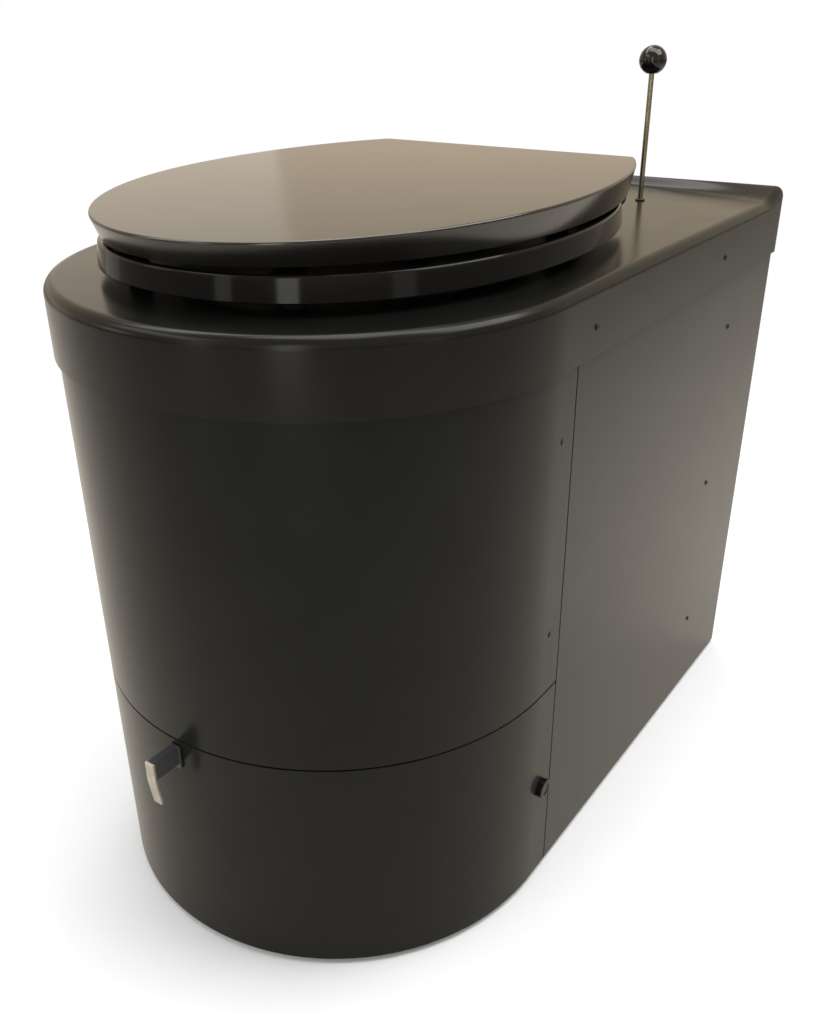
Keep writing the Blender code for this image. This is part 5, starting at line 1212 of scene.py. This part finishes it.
@dataclass
class Firing:
    """What burns, draws and switches, most of it out of sight."""

    shop: Workshop
    housing: Housing
    duct_height: float = 0.315
    flue: float = 0.050
    flue_reach: float = 0.030
    flue_flange: float = 0.014
    flue_start: float = 0.3708
    flue_edges: Sizes = (0.0003, 0.0003, 0.0003, 0.0004, 0.0005, 0.002, 0.0006, 0.0006)
    box_bevel: float = 0.0015
    inlet_bevel: float = 0.0003

    def build(self) -> None:
        """Build the flue collar and dress what stays."""
        rear, sheet = self.housing.rear, self.housing.sheet
        seat = rear - sheet - self.flue_start
        end = rear + self.flue_reach - self.flue_start
        inner, outer, wide = self.flue - sheet, self.flue, self.flue + self.flue_flange
        section = [(inner, 0), (outer, 0), (outer, seat), (wide, seat), (wide, seat + sheet),
                   (outer, seat + sheet), (outer, end), (inner, end)]
        centre = (0.0, self.flue_start, self.duct_height)
        collar = Shell().lathe(rounded(section, self.flue_edges, steps=5), centre, "y", steps=128)
        self.shop.make("flue_collar_spun", collar, STAINLESS, "flue_collar")
        for node in ("firing_chamber", "fire_grate", "heating_element", "exhaust_duct"):
            self.shop.dress(node, SCALE)
        for node, finish in (("chamber_jacket", WOOL), ("fan_housing", ZINC), ("fan_wheel", CASTING),
                             ("fan_motor", NYLON)):
            self.shop.dress(node, finish)
        self.shop.soften("control_box", NYLON, width=self.box_bevel)
        self.shop.soften("power_inlet", NYLON, width=self.inlet_bevel)


# Ash drawer

@dataclass
class AshDrawer:
    """The half-round drawer front with its handle, knobs and pan.

    The arm's and the grip's values are their width and depth, the foot's its width, height and
    thickness, the knob's and the stud's their radius and length. The pan's are its half width
    and the depths of its front and rear.
    """

    shop: Workshop
    housing: Housing
    handle_top: float = 0.1895
    reach: float = 0.0265
    arm: Pair = (0.0075, 0.016)
    foot: Place = (0.010, 0.020, 0.002)
    arm_corner: float = 0.0012
    foot_edge: float = 0.0006
    arm_edge: float = 0.0004
    grip: Pair = (0.0085, 0.0032)
    grip_straight: float = 0.016
    grip_drop: float = 0.039
    grip_lean: float = 0.003
    grip_bends: Sizes = (0.0010, 0.010, 0.0010, 0.0010, 0.013, 0.0010)
    grip_edge: float = 0.0008
    knob: Pair = (0.008, 0.005)
    knob_chamfer: float = 0.0022
    knob_dish: float = 0.0030
    dish_depth: float = 0.0006
    knob_edges: Sizes = (0, 0.0005, 0, 0.0005, 0.0009, 0.0004, 0.0004, 0)
    stud: Pair = (0.0025, 0.008)
    pan: Place = (0.120, -0.095, 0.165)
    pan_bottom: float = 0.0142
    pan_height: float = 0.120
    pan_taper: float = 0.010
    pan_rim: float = 0.006
    pan_corner: float = 0.014
    pan_least_corner: float = 0.003
    pan_edges: Sizes = (0, 0.004, 0.001, 0.0005, 0.0005, 0.002, 0.004, 0)

    def build_handle(self) -> None:
        """The moulded arm with its foot, and the bright strip that hangs from it."""
        plane = -self.housing.half_width
        face = plane - GAP
        top = self.handle_top
        width, depth = self.arm
        foot_width, foot_depth, foot_sheet = self.foot
        grip_width, grip_sheet = self.grip
        front = plane - self.reach
        back = front + grip_sheet
        foot = rectangle((top - foot_depth, -foot_width / 2), (top, foot_width / 2), self.arm_corner)
        arm = rectangle((top - depth, -width / 2), (top, width / 2), self.arm_corner)
        shell = Shell().bar(foot, face - foot_sheet, face, self.foot_edge, "y")
        shell.bar(arm, back + GAP, face - foot_sheet / 2, self.arm_edge, "y")
        self.shop.make("handle_arm_moulded", shell, GREY_NYLON, "handle_arm", Body.DRAWER)
        bend, low = top - self.grip_straight, top - self.grip_drop
        lean = self.grip_lean
        view = [(front, top), (front, bend), (front + lean, low), (back + lean, low), (back, bend),
                (back, top)]
        loop = rounded(view, self.grip_bends, steps=8)
        strip = Shell().bar(loop, -grip_width / 2, grip_width / 2, self.grip_edge, "x")
        self.shop.make("handle_grip_strip", strip, STRIP, "handle_grip", Body.DRAWER)

    def build_knobs(self) -> None:
        """The two clamp knobs: a disc with a chamfered rim and a shallow dished face, on a stud."""
        y, z = self.housing.knob
        radius, length = self.knob
        stud, stud_length = self.stud
        face = self.housing.half_width + GAP
        tail, end = face - stud_length, face + length
        dish = end - self.dish_depth
        corners = [(0, tail), (stud, tail), (stud, face), (radius, face), (radius, end),
                   (radius - self.knob_chamfer, end), (radius - self.knob_dish, dish), (0, dish)]
        profile = rounded(corners, self.knob_edges, closed=False)
        for side, body in ((Side.RIGHT, Body.KNOB_RIGHT), (Side.LEFT, Body.KNOB_LEFT)):
            points = turned(profile, (0.0, y, z), "x", steps=56) * np.array([side.value, 1, 1])
            self.shop.make("clamp_knob_turned_" + side.word, Shell().grid(points), ACETAL,
                           "clamp_knob_" + side.word, body)

    def build_pan(self) -> None:
        """The folded pan: a tapered box with rounded corners and a flat rim."""
        wide, front, rear = self.pan
        sheet, taper, rim = self.housing.sheet, self.pan_taper, self.pan_rim
        low, high = self.pan_bottom, self.pan_bottom + self.pan_height

        def ring(grow: float, height: float) -> Array:
            """The pan's outline at a height.

            Args:
                grow: How far it is grown.
                height: The height.
            Returns:
                Points (n, 3).
            """
            corner = max(self.pan_corner + grow, self.pan_least_corner)
            near, far = (-wide - grow, front - grow), (wide + grow, rear + grow)
            return lifted(rectangle(near, far, corner, steps=10), height)

        def middle(height: float) -> Array:
            """The outline drawn in to the pan's middle, at a height."""
            return ring(-taper, height) * np.array([0, 0, 1]) + np.array([0, (front + rear) / 2, 0])

        keys = np.stack([middle(low), ring(-taper, low), ring(0.0, high - sheet),
                         ring(rim, high - sheet), ring(rim, high), ring(-sheet, high),
                         ring(-taper - sheet, low + sheet), middle(low + sheet)])
        shell = Shell().loft(keys, self.pan_edges, steps=5, closed=False)
        self.shop.make("ash_pan_folded", shell, ZINC, "ash_pan", Body.DRAWER)

    def build(self) -> None:
        """Build the drawer, whose front carries on the housing's wrap."""
        lower = self.housing.wrap(self.housing.foot_height, self.housing.door_top)
        self.shop.make("drawer_wrap_lower", lower, COAT, "drawer_front", Body.DRAWER)
        self.build_handle()
        self.build_knobs()
        self.build_pan()
        self.shop.soften("drawer_carriage", ZINC, Body.DRAWER)


# Screws

@dataclass
class Screws:
    """Pan-head screws with a cross recess.

    The recess's sizes are shares of the head's radius: half an arm's width and an arm's reach,
    each with the width of its slope, and its depth is a share of the head's height. The counts
    are the points across the head, round it and round the shank.
    """

    shop: Workshop
    housing: Housing
    head: float = 0.0024
    rise: float = 0.0007
    shank: float = 0.0014
    shank_length: float = 0.0055
    arm: Pair = (0.20, 0.10)
    end: Pair = (0.66, 0.12)
    recess: float = 0.6
    side_depth: float = 0.335
    side_heights: Sizes = (0.405, 0.247, 0.088)
    front_depth: float = 0.0094
    front_heights: Sizes = (0.403, 0.246)
    skirt_depths: Sizes = (0.043, 0.293)
    skirt_height: float = 0.476
    counts: Counts = (22, 48, 20)

    def screw(self, facing: Facing, face: float, across: float, height: float) -> Shell:
        """One screw.

        Over the polar grid the head is as high as the square root of 1 - r^4. The recess is a
        cross: its depth is the product of a smooth step across an arm and one at the arm's end.

        Args:
            facing: The way its head faces.
            face: Distance of the surface along that way.
            across: The screw's place across it.
            height: Its height.
        Returns:
            The head and its shank.
        """
        across_count, round_count, shank_count = self.counts
        ring = np.linspace(0, 1, across_count)[:, None]
        turn = np.linspace(0, CIRCLE, round_count, endpoint=False)[None]
        a, b = np.abs(ring * np.cos(turn)), np.abs(ring * np.sin(turn))
        arm, arm_slope = self.arm
        end, end_slope = self.end
        cross = (smooth_step((arm - np.minimum(a, b)) / arm_slope)
                 * smooth_step((end - np.maximum(a, b)) / end_slope))
        seat = face + GAP
        out = seat + self.rise * np.sqrt(np.clip(1 - ring ** 4, 0, 1)) * (1 - self.recess * cross)
        radius = np.broadcast_to(ring * self.head, out.shape)
        cap = np.stack([out, across + radius * np.cos(turn), height + radius * np.sin(turn)], axis=-1)
        under = cap[-1:] * np.array([0, 1, 1]) + np.array([seat, 0, 0])
        middle = np.broadcast_to([seat, across, height], under.shape)
        axes = np.array(facing.value, dtype=float)
        tip = seat - self.shank_length
        bar = np.array([(0, tip), (self.shank, tip + self.shank / 2), (self.shank, seat), (0, seat)])
        shell = Shell().grid(np.concatenate([cap, under, middle]) @ axes)
        return shell.grid(turned(bar, (0.0, across, height), "x", shank_count) @ axes)

    def build(self) -> None:
        """Drive the screws: front wrap, deck skirt, side panels and their rear returns."""
        wide, rear = self.housing.half_width, self.housing.rear
        skirt = wide + self.housing.overhang
        fold = wide - self.housing.sheet - self.housing.rear_flange / 2
        for side in Side:
            out = Facing[side.name]
            for word, height in zip(("upper", "lower"), self.front_heights):
                node = f"front_screw_{side.word}_{word}"
                screw = self.screw(out, wide, self.front_depth, height)
                self.shop.make(node + "_pan_head", screw, ZINC_SCREW, node)
            for word, depth in zip(("front", "rear"), self.skirt_depths):
                node = f"skirt_screw_{side.word}_{word}"
                screw = self.screw(out, skirt, depth, self.skirt_height)
                self.shop.make(node + "_pan_head", screw, OXIDE, node)
            for word, height in zip(("upper", "middle", "lower"), self.side_heights):
                for group, place in (("side", (out, wide, self.side_depth)),
                                     ("rear", (Facing.REAR, rear, side.value * fold))):
                    name = f"{group}_screw_{side.word}_{word}"
                    self.shop.make(name, self.screw(*place, height), OXIDE)


# Studio

@dataclass
class Studio:
    """The camera, the floor and the soft light.

    Each lamp has a name, a place, the point it is aimed at, a width and height, and the glow of
    its surface.
    """

    eye: Place = (0.4745, -0.69125, 0.6685)
    swing: float = 35.432
    dip: float = 26.750
    roll: float = -0.492
    lens: float = 35.154
    film: float = 36.0
    nearest: float = 0.01
    floor_size: float = 300.0
    floor_drop: float = 0.0002
    floor_shine: str = "#f8eedf"
    floor_rough: float = 0.9
    floor_specular: float = 0.1
    white: str = "#ffffff"
    level: float = 0.37
    warm_white: str = "#efdcc1"
    fade: Pair = (0.45, 1.5)
    lamps: tuple[tuple, ...] = (
        ("overhead", (0.0, 0.1, 2.4), (0.0, 0.1, 0.0), (1.2, 1.2), 5.5),
        ("soft_left", (-1.0, 0.35, 2.2), (0.0, 0.0, 0.5), (2.2, 0.6), 5.0),
        ("soft_front", (-1.2, -1.7, 2.0), (0.0, 0.0, 0.5), (1.7, 0.7), 3.0),
        ("soft_low", (-1.9, -1.9, 0.85), (0.0, 0.0, 0.5), (0.6, 0.5), 2.4),
        ("floor_right", (0.75, 0.3, 1.4), (0.6, 0.3, 0.0), (0.8, 0.8), 6.5),
        ("strip_side", (-2.1, -0.4, 0.4), (0.0, 0.0, 0.4), (0.7, 0.9), 0.3),
        ("strip_front", (-0.3, -2.0, 0.75), (0.0, 0.0, 0.5), (0.3, 1.5), 1.4),
        ("strip_near", (0.75, -1.75, 0.75), (0.0, 0.0, 0.5), (0.34, 1.5), 4.0),
        ("strip_right", (2.2, -0.6, 0.75), (0.0, 0.0, 0.5), (0.4, 1.5), 0.8),
        ("strip_left", (-1.95, 1.3, 0.75), (0.0, 0.0, 0.5), (0.9, 1.5), 0.22))

    def build_camera(self) -> None:
        """The camera at the photograph's angle: forward, right and up from swing, dip and roll."""
        swing, dip, roll = (math.radians(angle) for angle in (self.swing, self.dip, self.roll))
        forward = Vector((-math.sin(swing) * math.cos(dip), math.cos(swing) * math.cos(dip),
                          -math.sin(dip)))
        right = Vector((math.cos(swing), math.sin(swing), 0))
        up = right.cross(forward)
        level = right * math.cos(roll) + up * math.sin(roll)
        upright = up * math.cos(roll) - right * math.sin(roll)
        camera = linked(bpy.data.objects.new("camera", bpy.data.cameras.new("camera")))
        camera.data.lens = self.lens
        camera.data.sensor_width = self.film
        camera.data.clip_start = self.nearest
        axes = Matrix((level, upright, -forward)).transposed().to_4x4()
        camera.matrix_world = Matrix.Translation(self.eye) @ axes
        bpy.context.scene.camera = camera

    def paper(self) -> bpy.types.Material:
        """The floor's paper.

        Returns:
            Matt white paper, a little warmer in what shines. For the camera alone it fades to
            plain white by a smooth step of the distance from the origin.
        """
        made = bpy.data.materials.new("matt_paper")
        made.use_nodes = True
        tree = made.node_tree
        shader = tree.nodes["Principled BSDF"]
        seen = add(tree, "LightPath").outputs["Is Camera Ray"]
        tone = add(tree, "Mix", {"Factor": seen, "A": linear(self.floor_shine), "B": linear(self.white)},
                   data_type="RGBA")
        tree.links.new(tone.outputs["Result"], shader.inputs["Base Color"])
        shader.inputs["Roughness"].default_value = self.floor_rough
        shader.inputs["Specular IOR Level"].default_value = self.floor_specular
        place = add(tree, "TexCoord").outputs["Object"]
        reach = add(tree, "VectorMath", {0: place}, operation="LENGTH").outputs["Value"]
        near, far = self.fade
        share = add(tree, "MapRange", {"Value": reach, "From Min": near, "From Max": far},
                    interpolation_type="SMOOTHSTEP").outputs["Result"]
        white = add(tree, "Math", {0: share, 1: seen}, operation="MULTIPLY").outputs["Value"]
        glow = add(tree, "Emission", {"Color": linear(self.white), "Strength": 1.0})
        mixed = add(tree, "MixShader", {0: white, 1: shader.outputs["BSDF"],
                                        2: glow.outputs["Emission"]})
        tree.links.new(mixed.outputs["Shader"], tree.nodes["Material Output"].inputs["Surface"])
        return made

    def build_floor(self) -> None:
        """A wide pale floor, a hair below the feet."""
        half = self.floor_size / 2
        mesh = bpy.data.meshes.new("floor")
        square = ((-half, -half), (half, -half), (half, half), (-half, half))
        mesh.from_pydata([(x, y, -self.floor_drop) for x, y in square], [], [(0, 1, 2, 3)])
        mesh.materials.append(self.paper())
        linked(bpy.data.objects.new("floor", mesh))

    def build_sky(self) -> None:
        """A sky that is white behind the toilet, warm white in what shines and plain on the rest."""
        world = bpy.data.worlds.new("studio")
        world.use_nodes = True
        tree = world.node_tree
        path = add(tree, "LightPath")
        shines = add(tree, "Math", {0: path.outputs["Is Glossy Ray"],
                                    1: path.outputs["Is Transmission Ray"]}, operation="MAXIMUM")
        white = linear(self.white)
        level = tuple(self.level * part for part in white[:3]) + (1.0,)
        lit = add(tree, "Mix", {"Factor": shines.outputs["Value"], "A": level,
                                "B": linear(self.warm_white)}, data_type="RGBA")
        seen = add(tree, "Mix", {"Factor": path.outputs["Is Camera Ray"], "A": lit.outputs["Result"],
                                 "B": white}, data_type="RGBA")
        tree.links.new(seen.outputs["Result"], tree.nodes["Background"].inputs["Color"])
        bpy.context.scene.world = world
        bpy.context.scene.view_settings.view_transform = "Standard"

    def build_lamps(self) -> None:
        """Wide soft lamps, and panels that show as streaks in what is glossy."""
        for name, place, aim, (width, height), glow in self.lamps:
            lamp = bpy.data.lights.new(name, "AREA")
            lamp.shape = "RECTANGLE"
            lamp.size, lamp.size_y = width, height
            lamp.energy = glow * math.pi * width * height
            holder = linked(bpy.data.objects.new(name, lamp))
            holder.location = place
            holder.rotation_euler = (Vector(aim) - Vector(place)).to_track_quat("-Z", "Y").to_euler()
            holder.visible_camera = False

    def build(self) -> None:
        """Set up the studio."""
        self.build_camera()
        self.build_floor()
        self.build_sky()
        self.build_lamps()


def main() -> None:
    """Build the pieces in order."""
    logging.basicConfig(level=logging.INFO, format="%(message)s")
    shop = Workshop()
    housing = Housing(shop)
    Studio().build()
    housing.build()
    for kind in (SeatAndLid, BowlAndRod, Firing, AshDrawer, Screws):
        kind(shop, housing).build()
    log.info("%d pieces made", shop.made)


if __name__ == "__main__":
    main()
